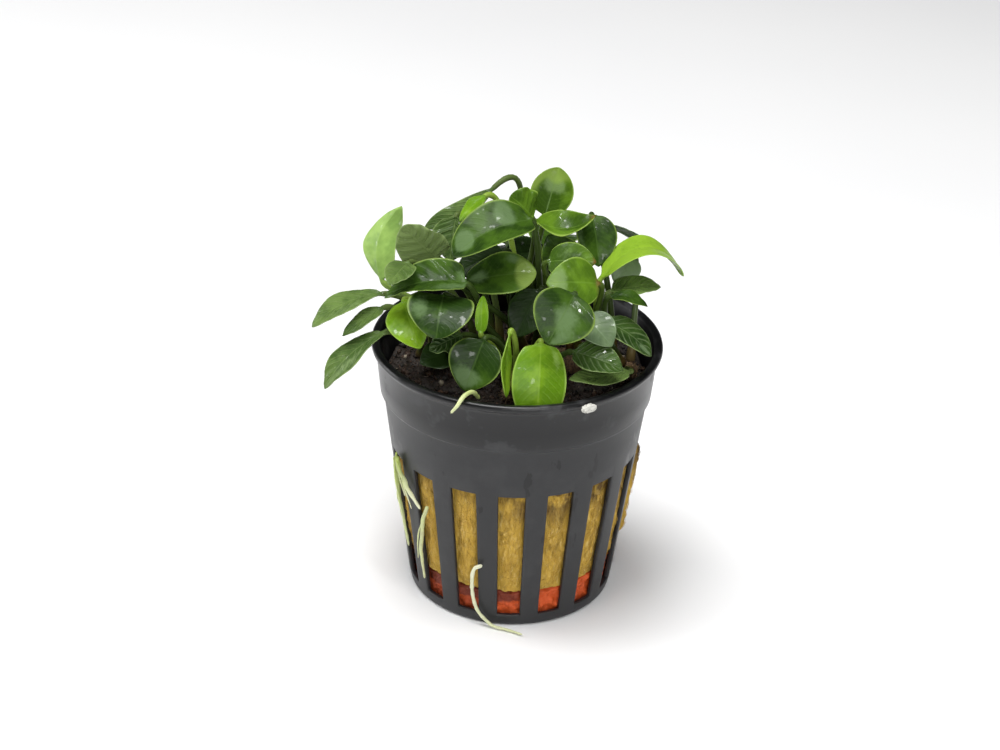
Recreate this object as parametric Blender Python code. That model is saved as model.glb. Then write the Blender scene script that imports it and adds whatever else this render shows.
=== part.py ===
"""A small anubias growing in a black slotted nursery pot.

The pot stands on the ground plane with its axis on Z and its front towards -Y.
The origin is the centre of the pot's underside.  All driving sizes are in
millimetres and are turned into metres when a mesh is made.
"""

import math
from typing import NamedTuple

import bmesh
import bpy
import numpy as np

MM = 0.001
CLEARANCE = 0.3

# Pot: radii and heights of the turned wall, and the slots cut through it.
SLOT_COUNT = 16
SLOT_HALF_ANGLE = math.radians(6.2)
FRONT_ANGLE = math.radians(-90.0)
BASE_RADIUS = 19.9
SHOULDER_RADIUS = 25.2
SHOULDER_HEIGHT = 41.5
COLLAR_RADIUS = 25.8
RIM_RADIUS = 27.5
POT_HEIGHT = 52.0
WALL = 0.9
FLOOR_THICKNESS = 1.2
SLOT_BOTTOM = 2.6
SLOT_TOP = 31.1
DRAIN_INNER_RADIUS = 8.0
DRAIN_OUTER_RADIUS = 15.5
LIP_DEPTH = 1.5

# What the pot holds, from the floor up.
DISC_HEIGHT = 5.9
WOOL_TOP = 35.6
SOIL_TOP = 44.8
SOIL_LUMP = 0.35
WOOL_BULGE = 0.65
WOOL_BULGE_RIGHT = 2.3
RIGHT_SLOT = 4

# Rhizome and roots: the rhizome's radius at its thickest place, and how many
# sides and rings their tubes have.
RHIZOME_RADIUS = 2.3
RHIZOME_SIDES = 8
ROOT_SIDES = 5
ROOT_RINGS = 6

# Leaf sections: thickness at the midrib and half way out, and the petiole.
MIDRIB_THICKNESS = 0.7
BLADE_THICKNESS = 0.42
PETIOLE_RADIUS = 0.5
FOOT_RADIUS = 0.62
BLADE_STATIONS = (0.0, 0.12, 0.32, 0.56, 0.79, 0.94)
PETIOLE_STATIONS = (0.0, 0.34, 0.68)
LEAF_SIDES = 8
LIME_LEAVES = (
    "front_lime",
    "crescent",
    "spear",
    "left_tall",
    "left_bright",
    "front_rolled",
    "upper_young",
)


class Leaf(NamedTuple):
    """One blade with its petiole; every place is in millimetres.

    The bow and the sway bend the midrib out of the straight line, towards the
    upper face and towards the side.  The cup is the rise of the blade's edges
    as a share of its half width.  The lift and the reach are the shares of the
    petiole's span over which it leaves the rhizome and meets the blade.  The
    blade is widest at the share of its length called broad, and the larger full
    is, the blunter are its ends.
    """

    name: str
    stem: str
    along: float
    base: tuple
    tip: tuple
    width: float
    face: tuple
    bow: float = 1.0
    sway: float = 0.0
    cup: float = 0.15
    lift: float = 0.45
    reach: float = 0.16
    broad: float = 0.42
    full: float = 0.0


# Axis points of the rhizome and its two forks.
STEMS = {
    "main": (
        (22.6, -5.0, 48.2),
        (15.0, -1.5, 47.5),
        (4.0, 0.8, 47.5),
        (-8.0, 0.5, 47.5),
        (-18.5, -2.0, 48.0),
    ),
    "front": ((3.0, -3.1, 47.5), (2.0, -9.5, 47.5), (-1.5, -15.5, 47.8)),
    "back": ((-1.0, 4.2, 47.5), (1.0, 10.5, 47.5), (4.0, 17.0, 47.8)),
}

# Leaves: stem and place along it, blade base and tip, width, the direction that
# the upper face looks, and how far the blade bows.  The fields that follow are
# named where they differ from the usual ones.
LEAVES = (
    Leaf("left_tall", "main", 0.85, (-25.2, -4, 65), (-21.5, 2, 77.1), 7.4, (0.5, 0.8, 0), -1.0,
         sway=-2.4, cup=0.2),
    Leaf("left_ribbed", "main", 0.72, (-15.2, -2, 69), (-21.1, -5, 76.6), 9.8, (-0.5, -0.7, 0.5), 0.6,
         full=0.25),
    Leaf("left_round", "main", 0.76, (-20, -10.5, 71.6), (-22.9, -18, 70.8), 5.4, (-0.2, -0.7, 0.7), 0.3),
    Leaf("left_outer", "main", 0.90, (-24.7, -8, 64.1), (-37.4, -12, 58.8), 7.2, (0, -0.05, 1), 1.6,
         broad=0.56),
    Leaf("left_middle", "main", 0.95, (-24.6, -10, 62.2), (-31.6, -15, 58.9), 4.0, (0, -0.1, 1), 0.3),
    Leaf("left_low", "main", 1.00, (-24, -13, 58.8), (-34.6, -18, 49.4), 6.3, (-0.3, -0.3, 1), 1.8,
         broad=0.56),
    Leaf("left_bright", "main", 0.82, (-20.8, -9.5, 63.5), (-17.3, -19, 58.8), 8.4, (-0.3, -0.6, 0.8), 1.0),
    Leaf("left_roof", "main", 0.7, (-9.3, -12.5, 68.8), (-24.2, -12.5, 65.5), 8.2, (0, -0.35, 1), 2.2,
         cup=0.45, reach=0.05, broad=0.3),
    Leaf("left_dark", "front", 0.32, (-13.4, -14, 67), (-14.3, -22.5, 62.7), 12.0, (0, -0.5, 0.85), 1.4,
         full=0.25),
    Leaf("crinkled", "front", 0.49, (-10.1, -13.9, 59.1), (-15.7, -17.8, 57.8), 5.0, (0.1, -0.5, 0.9), 0.4),
    Leaf("low_shade", "front", 0.80, (-11.7, -15.5, 56.5), (-17.3, -19, 55.8), 6.0, (0, -0.6, 0.8), 0.6),
    Leaf("back_arch", "back", 0.42, (-5.3, 9, 78.5), (-18, 5.5, 71.4), 4.6, (0.2, -0.5, 0.8), 0.1,
         sway=1, reach=0.45, broad=0.58),
    Leaf("upper_young", "main", 0.57, (-6.8, 3, 79.3), (-11.3, 0, 75.5), 3.4, (-0.3, -0.3, 1), 0.3),
    Leaf("upper_big", "main", 0.49, (2, -3.5, 77.7), (-12, -9, 72.6), 10.6, (0, -0.35, 1), 2.0,
         cup=0.3, reach=0.03, full=0.25),
    Leaf("upper_small", "back", 0.02, (2, 3.2, 75.3), (-2.2, 2.2, 79.8), 8.2, (0, -0.6, 0.9), 0.4,
         full=0.3),
    Leaf("ribbed_mid", "main", 0.65, (-12, 2.5, 75.1), (-12.8, -1.5, 68), 8.0, (-0.2, -0.7, 0.6), 0.4),
    Leaf("top_cup", "back", 0.20, (4.4, 5.5, 74.6), (6.7, 8, 83.4), 8.0, (0, -1, 0.3), -0.6,
         cup=0.45, broad=0.5, full=0.4),
    Leaf("boat", "main", 0.45, (2.5, 1.5, 75.4), (13.9, 1, 77.2), 7.2, (0, -0.35, 1), -2.8,
         cup=0.45, reach=0.05, full=-0.3),
    Leaf("right_hang", "main", 0.16, (13, 5.8, 75.1), (14.6, -0.1, 67.2), 8.0, (0.3, -0.9, 0.4), 0.8,
         reach=0.05),
    Leaf("right_arch", "back", 0.50, (15.5, 9, 71.4), (24.4, 9, 66.4), 6.4, (0, 0.55, 1), 0.9),
    Leaf("crescent", "main", 0.24, (15, -2, 65.6), (30.5, 2, 65.6), 9.0, (0, 0, 1), 5.7,
         full=0.2, broad=0.5),
    Leaf("right_blue", "main", 0.05, (21, 4, 67.7), (17.6, 0.5, 63.9), 6.0, (0.2, -0.7, 0.6), 0.6),
    Leaf("right_point", "main", 0.20, (17, -3, 63.6), (26.2, -2, 64.4), 7.2, (0, -0.1, 1), 0.5),
    Leaf("right_dark", "main", 0.13, (16.8, -8.5, 65.3), (23.4, -9.5, 63.9), 3.6, (0, -0.2, 1), 1.0),
    Leaf("centre_high", "main", 0.33, (5.1, -4.3, 69.8), (13.9, -5.8, 70.8), 7.4, (0, -0.6, 0.8), 0.6),
    Leaf("centre_right", "main", 0.28, (14.3, -9, 68), (4.8, -12, 69.3), 9.2, (0, -0.75, 0.65), 0.7),
    Leaf("centre_gloss", "main", 0.56, (-9.9, -7.5, 66.6), (3.1, -7, 68.9), 9.0, (0, -0.55, 0.85), 0.8,
         broad=0.55, full=0.25),
    Leaf("front_lime", "front", 0.97, (4.3, -16.8, 59.7), (4, -23.2, 46.8), 9.8, (0, -0.85, 0.5), 1.4,
         broad=0.5, full=0.45),
    Leaf("front_rolled", "front", 0.86, (-1.3, -17.7, 61.9), (-1.6, -23.7, 52), 4.8, (1, -0.35, 0.2), -0.6,
         broad=0.6),
    Leaf("front_left", "front", 0.76, (-5.9, -16.5, 59.8), (-9.1, -21, 51.5), 9.8, (-0.1, -0.85, 0.5), 0.8),
    Leaf("centre_round", "front", 0.45, (10, -16.5, 69.6), (5.3, -22, 62.1), 11.5, (0.1, -0.8, 0.6), 0.9,
         reach=0.02, lift=0.25),
    Leaf("under_round", "front", 0.25, (12, -13, 63.4), (17, -17.5, 59.7), 7.0, (0.1, -0.6, 0.8), 0.4),
    Leaf("right_veined", "front", 0.58, (10.1, -17, 58.1), (19.1, -20, 56.3), 6.8, (0.1, -0.5, 0.9), 0.6),
    Leaf("right_lowest", "main", 0.02, (20.5, -15, 53.4), (9.5, -21.5, 55), 5.6, (0, -0.2, 1), -0.5),
    Leaf("right_rim", "main", 0.08, (15.5, -10.5, 61.1), (24.3, -15, 56.6), 7.0, (0.2, -0.2, 1), 1.2),
    Leaf("spear", "front", 0.62, (-6.6, -14.5, 60.1), (-6.4, -12, 66.3), 2.4, (0, -0.9, 0.3), 0.2,
         full=0.3),
    Leaf("centre_shade", "front", 0.10, (4, -7, 65.4), (-0.6, -12.5, 58.3), 7.5, (0, -0.7, 0.7), 0.3),
    Leaf("upper_shade", "main", 0.37, (9.2, 1.5, 66.5), (5, 1.5, 72.6), 7.5, (0, -0.9, 0.2), 0.3),
    Leaf("inner_left", "main", 0.61, (-3, -1.3, 70.3), (-11.8, -4.3, 66.6), 6.5, (0, -0.6, 0.8), 0.4),
    Leaf("inner_right", "back", 0.30, (-2.6, 9.5, 64.3), (5.3, 9.3, 65.9), 7.0, (0, -1, 0.35), 0.3),
    Leaf("rear_left_high", "main", 0.68, (-10, 6, 65.5), (-20, 15, 63.5), 10.5, (-0.1, 0.3, 1), 1.2),
    Leaf("rear_left_low", "main", 0.86, (-14, 9, 59), (-24.5, 18.5, 55.5), 10.5, (-0.2, 0.3, 1), 1.6),
    Leaf("rear_high", "back", 0.62, (-2.5, 14, 65), (-7, 25, 62.5), 11.0, (0, 0.3, 1), 1.0),
    Leaf("rear_middle", "back", 0.78, (-4, 16.5, 60.5), (-10, 28, 56), 11.5, (0, 0.4, 1), 1.5),
    Leaf("rear_low", "back", 1.00, (4, 18.5, 56), (2, 31, 51.5), 11.0, (0, 0.5, 1), 1.6),
    Leaf("rear_right_high", "back", 0.70, (4.5, 12.5, 65), (9, 22.5, 63), 10.5, (0, -0.1, 1), 1.2),
    Leaf("rear_right_low", "back", 0.86, (9, 17, 59), (14.5, 28, 55), 10.0, (0.3, 0.3, 1), 1.5),
)

# Roots that have grown out of the pot: radius, and the places they pass.
ROOTS = {
    "root_left_long": (0.42, (
        (-22.4, -10.4, 31.2),
        (-21.9, -10.6, 26.8),
        (-21.3, -10.4, 21.6),
        (-19.6, -10.8, 11.6),
    )),
    "root_left_tip": (0.45, (
        (-21.9, -12.3, 32.4),
        (-21.3, -12.2, 29.4),
        (-19.4, -14.6, 26.4),
        (-17.2, -16.3, 23.4),
    )),
    "root_left_down": (0.38, (
        (-15.8, -17.2, 24.6),
        (-16.7, -16.6, 20.5),
        (-17.0, -14.9, 13.5),
        (-16.3, -14.3, 6.5),
    )),
    "root_front": (0.36, (
        (-5.2, -22.0, 15.0),
        (-6.8, -21.6, 13.5),
        (-6.9, -20.8, 8.2),
        (-6.0, -20.5, 4.0),
        (-3.4, -20.9, 0.9),
        (0.0, -22.0, 0.5),
        (2.8, -23.4, 0.5),
    )),
    "root_rim": (0.4, (
        (-6.5, -21.5, 50.5),
        (-7.6, -23.8, 52.9),
        (-9.0, -25.6, 53.1),
        (-10.3, -26.9, 51.8),
        (-11.3, -27.1, 50.4),
    )),
}
GRAIN_PLACE = (13.1, -25.5, 51.4)
GRAIN_SIZE = (1.45, 0.65, 0.85)
GRAIN_TURN = math.radians(27.0)

PLASTIC = ((0.035, 0.036, 0.038), 0.38)
CLAY = ((0.52, 0.06, 0.02), 0.85)
WOOL = ((0.50, 0.33, 0.09), 0.95)
PEAT = ((0.03, 0.018, 0.010), 0.95)
BARK = ((0.16, 0.07, 0.03), 0.9)
ROOT = ((0.55, 0.58, 0.28), 0.6)
LEAF_GREEN = ((0.055, 0.17, 0.02), 0.28)
LEAF_LIME = ((0.22, 0.42, 0.03), 0.35)
CRUMB = ((0.75, 0.74, 0.68), 0.9)


def clear_scene():
    """Remove whatever the file opens with."""
    for thing in list(bpy.data.objects):
        bpy.data.objects.remove(thing)


def material(name, finish):
    """Return one Principled material with a colour and a roughness."""
    colour, roughness = finish
    made = bpy.data.materials.new(name)
    made.use_nodes = True
    shader = made.node_tree.nodes["Principled BSDF"]
    shader.inputs["Base Color"].default_value = (*colour, 1.0)
    shader.inputs["Roughness"].default_value = roughness
    shader.inputs["Metallic"].default_value = 0.0
    return made


def add_piece(name, build, finish, place=(0.0, 0.0, 0.0), parent=None):
    """Turn a bmesh in millimetres into a named, smooth object in metres.

    The object's own origin goes to the given place, in the frame of its parent,
    whose origin is the pot's.
    """
    place = np.asarray(place, float)
    bmesh.ops.recalc_face_normals(build, faces=build.faces)
    bmesh.ops.translate(build, vec=tuple(-place), verts=build.verts)
    bmesh.ops.scale(build, vec=(MM, MM, MM), verts=build.verts)
    mesh = bpy.data.meshes.new(name)
    build.to_mesh(mesh)
    build.free()
    mesh.shade_smooth()
    mesh.set_sharp_from_angle(angle=math.radians(50.0))
    mesh.materials.append(material(name, finish))
    piece = bpy.data.objects.new(name, mesh)
    bpy.context.scene.collection.objects.link(piece)
    piece.location = tuple(MM * place)
    piece.parent = parent
    return piece


def add_ring(build, points):
    """Add one ring of vertices."""
    return [build.verts.new(tuple(point)) for point in points]


def join_rings(build, lower, upper, columns=None):
    """Bridge two rings of the same count with quads, all round or in some columns."""
    count = len(lower)
    for column in columns if columns is not None else range(count):
        after = (column + 1) % count
        build.faces.new((lower[column], lower[after], upper[after], upper[column]))


def close_ring(build, ring, centre):
    """Close a ring with a fan to a centre point."""
    middle = build.verts.new(tuple(centre))
    for column, vertex in enumerate(ring):
        build.faces.new((vertex, ring[(column + 1) % len(ring)], middle))


def turned_ring(radii, height, angles):
    """Points round the Z axis; radii and height may vary with the angle."""
    radii = np.broadcast_to(radii, angles.shape)
    heights = np.broadcast_to(height, angles.shape)
    return np.stack([radii * np.cos(angles), radii * np.sin(angles), heights], axis=1)


def slot_columns():
    """Angles of the pot's columns: slot edge, slot middle, slot edge, for each slot."""
    middles = FRONT_ANGLE + np.arange(SLOT_COUNT) * 2.0 * math.pi / SLOT_COUNT
    offsets = np.array([-SLOT_HALF_ANGLE, 0.0, SLOT_HALF_ANGLE])
    return (middles[:, None] + offsets[None, :]).ravel()


def outer_radius(height):
    """Radius of the pot's outer wall below the shoulder."""
    return BASE_RADIUS + (SHOULDER_RADIUS - BASE_RADIUS) * height / SHOULDER_HEIGHT


def inner_radius(height):
    """Radius of the pot's inner wall below the shoulder."""
    return outer_radius(height) - WALL


def build_pot():
    """Turn the pot's section and leave the windows open in the floor and wall."""
    angles = slot_columns()
    sections = (
        (DRAIN_INNER_RADIUS, 0.0),
        (DRAIN_OUTER_RADIUS, 0.0),
        (BASE_RADIUS, 0.0),
        (outer_radius(SLOT_BOTTOM), SLOT_BOTTOM),
        (outer_radius(SLOT_TOP), SLOT_TOP),
        (SHOULDER_RADIUS, SHOULDER_HEIGHT),
        (COLLAR_RADIUS, SHOULDER_HEIGHT + 0.5),
        (RIM_RADIUS - 0.7, POT_HEIGHT - LIP_DEPTH),
        (RIM_RADIUS, POT_HEIGHT - 0.7),
        (RIM_RADIUS - 0.5, POT_HEIGHT),
        (RIM_RADIUS - 1.7, POT_HEIGHT - 0.4),
        (COLLAR_RADIUS - WALL, SHOULDER_HEIGHT + 0.6),
        (SHOULDER_RADIUS - WALL, SHOULDER_HEIGHT - 0.1),
        (inner_radius(SLOT_TOP), SLOT_TOP),
        (inner_radius(SLOT_BOTTOM), SLOT_BOTTOM),
        (inner_radius(FLOOR_THICKNESS), FLOOR_THICKNESS),
        (DRAIN_OUTER_RADIUS, FLOOR_THICKNESS),
        (DRAIN_INNER_RADIUS, FLOOR_THICKNESS),
    )
    drain_out, drain_in = (0, 1), (17, 16)
    slot_out, slot_in = (3, 4), (14, 13)
    rib_columns = range(2, len(angles), 3)
    window_columns = [column for column in range(len(angles)) if column % 3 != 2]
    build = bmesh.new()
    rings = [add_ring(build, turned_ring(radius, height, angles)) for radius, height in sections]
    open_bands = {drain_out[0], drain_in[1], slot_out[0], slot_in[1]}
    for band in range(len(rings) - 1):
        join_rings(build, rings[band], rings[band + 1], rib_columns if band in open_bands else None)
    close_ring(build, rings[0], (0.0, 0.0, 0.0))
    close_ring(build, rings[-1], (0.0, 0.0, FLOOR_THICKNESS))
    for outside, inside in ((drain_out, drain_in), (slot_out, slot_in)):
        for edge_out, edge_in in zip(outside, inside):
            join_rings(build, rings[edge_out], rings[edge_in], window_columns)
        for slot in range(SLOT_COUNT):
            for column in (3 * slot, 3 * slot + 2):
                build.faces.new((
                    rings[outside[0]][column],
                    rings[outside[1]][column],
                    rings[inside[1]][column],
                    rings[inside[0]][column],
                ))
    return add_piece("pot", build, PLASTIC)


def build_disc(pot):
    """The red clay disc under the wool, a little uneven on top."""
    angles = slot_columns()[::2]
    base = FLOOR_THICKNESS + CLEARANCE
    top = base + DISC_HEIGHT
    build = bmesh.new()
    lower = add_ring(build, turned_ring(inner_radius(base) - CLEARANCE - 0.2, base, angles))
    uneven = top - 0.3 + 0.3 * np.sin(5.0 * angles)
    upper = add_ring(build, turned_ring(inner_radius(top) - CLEARANCE - 0.4, uneven, angles))
    join_rings(build, lower, upper)
    close_ring(build, lower, (0.0, 0.0, base))
    close_ring(build, upper, (0.0, 0.0, top))
    return add_piece("clay_disc", build, CLAY, parent=pot)


def build_wool(pot):
    """The wool plug: a cone in the pot that swells a little into each slot."""
    angles = slot_columns()
    bottom = FLOOR_THICKNESS + DISC_HEIGHT + 2.0 * CLEARANCE
    slot_number = np.arange(len(angles)) // 3
    in_middle = np.arange(len(angles)) % 3 == 1
    swell = np.where(slot_number == RIGHT_SLOT, WOOL_BULGE_RIGHT, WOOL_BULGE) * in_middle
    levels = (
        (bottom, 0.0),
        (bottom + 3.0, 1.0),
        (SLOT_TOP - 2.0, 0.8),
        (SLOT_TOP + 0.4, 0.0),
        (WOOL_TOP, 0.0),
    )
    build = bmesh.new()
    rings = []
    for height, share in levels:
        radii = inner_radius(height) - CLEARANCE - 0.25 + swell * share
        rings.append(add_ring(build, turned_ring(radii, height, angles)))
    for lower, upper in zip(rings, rings[1:]):
        join_rings(build, lower, upper)
    close_ring(build, rings[0], (0.0, 0.0, bottom))
    close_ring(build, rings[-1], (0.0, 0.0, WOOL_TOP))
    return add_piece("wool_plug", build, WOOL, parent=pot)


def build_soil(pot):
    """The layer of peat above the wool, with a lumpy top."""
    angles = np.linspace(0.0, 2.0 * math.pi, 20, endpoint=False)
    bottom = WOOL_TOP + CLEARANCE
    shoulder = SHOULDER_HEIGHT - 0.4
    sides = (
        (inner_radius(bottom) - CLEARANCE - 0.1, bottom),
        (inner_radius(shoulder) - CLEARANCE - 0.1, shoulder),
        (COLLAR_RADIUS - WALL - CLEARANCE - 0.3, SHOULDER_HEIGHT + 1.1),
        (COLLAR_RADIUS - WALL - CLEARANCE - 0.1, SOIL_TOP - 0.5),
    )
    build = bmesh.new()
    rings = [add_ring(build, turned_ring(radius, height, angles)) for radius, height in sides]
    for share, turns in ((0.8, 7), (0.45, 4)):
        lumps = SOIL_TOP + SOIL_LUMP * np.sin(turns * angles + 9.0 * share)
        rings.append(add_ring(build, turned_ring(share * COLLAR_RADIUS, lumps, angles)))
    for lower, upper in zip(rings, rings[1:]):
        join_rings(build, lower, upper)
    close_ring(build, rings[0], (0.0, 0.0, bottom))
    close_ring(build, rings[-1], (0.0, 0.0, SOIL_TOP))
    return add_piece("soil", build, PEAT, parent=pot)


def unit(vector):
    """A vector scaled to length one."""
    return vector / np.linalg.norm(vector)


def bezier(controls, shares):
    """Points and tangents of a cubic Bezier curve at the given shares."""
    start, leave, arrive, end = (np.asarray(control, float) for control in controls)
    share = np.asarray(shares, float)[:, None]
    rest = 1.0 - share
    points = rest**3 * start + 3 * rest**2 * share * leave + 3 * rest * share**2 * arrive + share**3 * end
    tangents = rest**2 * (leave - start) + 2 * rest * share * (arrive - leave) + share**2 * (end - arrive)
    return points, tangents


def smooth_route(points, shares):
    """Points and tangents of a smooth curve through hand-set points."""
    points = np.asarray(points, float)
    stations = np.linspace(0.0, 1.0, len(points))
    padded = np.vstack([2 * points[0] - points[1], points, 2 * points[-1] - points[-2]])
    places, tangents = [], []
    for share in shares:
        span = min(int(share * (len(points) - 1)), len(points) - 2)
        local = (share - stations[span]) * (len(points) - 1)
        before, start, end, after = padded[span:span + 4]
        controls = (start, start + (end - before) / 6.0, end - (after - start) / 6.0, end)
        place, tangent = bezier(controls, [local])
        places.append(place[0])
        tangents.append(unit(tangent[0]))
    return np.array(places), np.array(tangents)


def tube(name, points, radii, sides, rings, finish, place, parent):
    """A round-ended tube along hand-set points, with radii set along its length."""
    shares = np.linspace(0.0, 1.0, rings)
    centres, tangents = smooth_route(points, shares)
    widths = np.interp(shares, np.linspace(0.0, 1.0, len(radii)), radii)
    angles = np.linspace(0.0, 2.0 * math.pi, sides, endpoint=False)
    build = bmesh.new()
    loops = []
    across = unit(np.cross(tangents[0], (0.3, 0.2, 1.0)))
    for centre, tangent, width in zip(centres, tangents, widths):
        across = unit(across - tangent * np.dot(across, tangent))
        other = np.cross(tangent, across)
        circle = np.cos(angles)[:, None] * across + np.sin(angles)[:, None] * other
        loops.append(add_ring(build, centre + width * circle))
    for lower, upper in zip(loops, loops[1:]):
        join_rings(build, lower, upper)
    close_ring(build, loops[0], centres[0] - 0.5 * widths[0] * tangents[0])
    close_ring(build, loops[-1], centres[-1] + 0.5 * widths[-1] * tangents[-1])
    return add_piece(name, build, finish, place, parent)


def build_rhizomes(pot):
    """The creeping stem and its two forks, each ending in a blunt tip."""
    main = RHIZOME_RADIUS * np.array([0.86, 1.0, 1.0, 0.7])
    fork = RHIZOME_RADIUS * np.array([0.8, 0.85, 0.65])
    shapes = (
        ("main", "rhizome", main, 6),
        ("front", "rhizome_front_fork", fork, 4),
        ("back", "rhizome_back_fork", fork, 4),
    )
    centre = (0.0, 0.0, 0.0)
    return {
        stem: tube(name, STEMS[stem], radii, RHIZOME_SIDES, rings, BARK, centre, pot)
        for stem, name, radii, rings in shapes
    }


def build_roots(pot):
    """The loose roots on the outside of the pot and over its rim."""
    for name, (radius, places) in ROOTS.items():
        radii = (radius, radius, 0.6 * radius)
        tube(name, places, radii, ROOT_SIDES, ROOT_RINGS, ROOT, places[0], pot)


def build_grain(pot):
    """The white soil grain that clings to the rim."""
    build = bmesh.new()
    bmesh.ops.create_icosphere(build, subdivisions=1, radius=1.0)
    bmesh.ops.scale(build, vec=GRAIN_SIZE, verts=build.verts)
    grain = add_piece("perlite_grain", build, CRUMB, parent=pot)
    grain.location = tuple(MM * np.array(GRAIN_PLACE))
    grain.rotation_euler = (0.0, 0.0, GRAIN_TURN)
    return grain


def outline(leaf, share):
    """Half width of the blade as a share: round at the base, more pointed at the tip."""
    power = math.log(0.5) / math.log(leaf.broad)
    return np.sin(math.pi * share**power) ** ((0.6 + 0.15 * share) * (1.0 - leaf.full))


def leaf_frame(leaf):
    """Blade base, axis, and the unit side and face vectors of a leaf."""
    base, tip = np.array(leaf.base, float), np.array(leaf.tip, float)
    axis = unit(tip - base)
    face = np.array(leaf.face, float)
    face = unit(face - axis * np.dot(face, axis))
    return base, tip, np.cross(face, axis), face


def blade_line(leaf, shares):
    """The blade's midrib: a straight line bent by its bow and its sway."""
    base, tip, side, face = leaf_frame(leaf)
    share = np.asarray(shares, float)[:, None]
    bend = leaf.bow * face + leaf.sway * side
    points = base + (tip - base) * share + bend * 4.0 * share * (1.0 - share)
    tangents = (tip - base) + bend * 4.0 * (1.0 - 2.0 * share)
    return points, tangents


def leaf_foot(leaf):
    """Where the petiole leaves the rhizome: on the side that looks to its blade."""
    centres, tangents = smooth_route(STEMS[leaf.stem], [leaf.along])
    towards = np.array(leaf.base, float) - centres[0]
    outwards = unit(towards - tangents[0] * np.dot(towards, tangents[0]))
    return centres[0] + (RHIZOME_RADIUS + CLEARANCE) * outwards, outwards


def petiole_line(leaf):
    """The petiole's curve from the rhizome to the blade."""
    foot, outwards = leaf_foot(leaf)
    base_point, base_tangent = blade_line(leaf, [0.0])
    span = np.linalg.norm(base_point[0] - foot)
    controls = (
        foot,
        foot + outwards * span * leaf.lift,
        base_point[0] - unit(base_tangent[0]) * span * leaf.reach,
        base_point[0],
    )
    return bezier(controls, PETIOLE_STATIONS)


def section(centre, side, face, half_width, rise, middle, between):
    """Eight points of a blade section: a thin lens whose edges rise by a share."""
    across = np.array([-1.0, -0.5, 0.0, 0.5, 1.0, 0.5, 0.0, -0.5])
    raised = np.array([1.0, 0.35, 0.0, 0.35, 1.0, 0.35, 0.0, 0.35])
    thick = np.array([0.0, between, middle, between, 0.0, -between, -middle, -between])
    height = rise * half_width * raised + 0.5 * thick
    return centre + np.outer(across * half_width, side) + np.outer(height, face)


def round_section(centre, side, face, radius):
    """Eight points of the round petiole, in the order of a blade section."""
    angles = math.pi - np.arange(LEAF_SIDES) * 2.0 * math.pi / LEAF_SIDES
    return centre + radius * (np.outer(np.cos(angles), side) + np.outer(np.sin(angles), face))


def build_leaf(leaf, stems):
    """One leaf: rings along the petiole, then along the blade, closed at both ends."""
    finish = LEAF_LIME if leaf.name in LIME_LEAVES else LEAF_GREEN
    side = leaf_frame(leaf)[2]
    points, tangents = blade_line(leaf, BLADE_STATIONS)
    build = bmesh.new()
    blade = []
    for share, point, tangent in zip(BLADE_STATIONS, points, tangents):
        face = unit(np.cross(tangent, side))
        half_width = 0.5 * leaf.width * outline(leaf, share)
        if share == 0.0:
            ring = round_section(point, side, face, PETIOLE_RADIUS)
        else:
            ring = section(point, side, face, half_width, leaf.cup, MIDRIB_THICKNESS, BLADE_THICKNESS)
        blade.append(add_ring(build, ring))
    stalk = []
    across = side
    stalk_points, stalk_tangents = petiole_line(leaf)
    for share, point, tangent in reversed(list(zip(PETIOLE_STATIONS, stalk_points, stalk_tangents))):
        tangent = unit(tangent)
        across = unit(across - tangent * np.dot(across, tangent))
        radius = FOOT_RADIUS + (PETIOLE_RADIUS - FOOT_RADIUS) * share
        stalk.insert(0, add_ring(build, round_section(point, across, np.cross(tangent, across), radius)))
    loops = stalk + blade
    for lower, upper in zip(loops, loops[1:]):
        join_rings(build, lower, upper)
    close_ring(build, loops[0], stalk_points[0])
    close_ring(build, loops[-1], leaf.tip)
    return add_piece("leaf_" + leaf.name, build, finish, stalk_points[0], stems[leaf.stem])


def main():
    """Build every piece of the potted plant."""
    clear_scene()
    pot = build_pot()
    build_disc(pot)
    build_wool(pot)
    build_soil(pot)
    stems = build_rhizomes(pot)
    build_roots(pot)
    build_grain(pot)
    for leaf in LEAVES:
        build_leaf(leaf, stems)


main()
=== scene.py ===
"""Looks of a small anubias that grows in a black slotted net pot.

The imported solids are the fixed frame.  Every visible piece is a surface worked
out with numpy in that frame, in millimetres, and becomes metres when its mesh is
made.  The pot stands on the ground plane, its axis on Z and its front at -Y.
"""

import logging
import math
from dataclasses import dataclass, field
from enum import Enum

import bpy
import numpy as np
from mathutils import Matrix


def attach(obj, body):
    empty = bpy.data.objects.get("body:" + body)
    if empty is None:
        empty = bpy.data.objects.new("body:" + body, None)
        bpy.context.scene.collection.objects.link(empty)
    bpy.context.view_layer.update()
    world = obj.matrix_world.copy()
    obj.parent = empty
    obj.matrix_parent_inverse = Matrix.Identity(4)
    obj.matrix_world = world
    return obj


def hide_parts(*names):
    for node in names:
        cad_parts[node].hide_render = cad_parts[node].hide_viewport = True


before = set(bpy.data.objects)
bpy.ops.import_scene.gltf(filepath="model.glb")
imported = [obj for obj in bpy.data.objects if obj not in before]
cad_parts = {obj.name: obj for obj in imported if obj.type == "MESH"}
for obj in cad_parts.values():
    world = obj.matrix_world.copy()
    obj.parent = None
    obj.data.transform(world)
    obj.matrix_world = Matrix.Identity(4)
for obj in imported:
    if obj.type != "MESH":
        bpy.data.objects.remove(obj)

LOG = logging.getLogger("anubias")
MM = 0.001
TURN = 2.0 * math.pi
BODY = "root"

Array = np.ndarray
Point = tuple[float, float, float]
Colour = tuple[float, float, float]
Paints = dict[str, Array]
Offsets = tuple[tuple[float, float], ...]


# Vectors and curves


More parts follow.
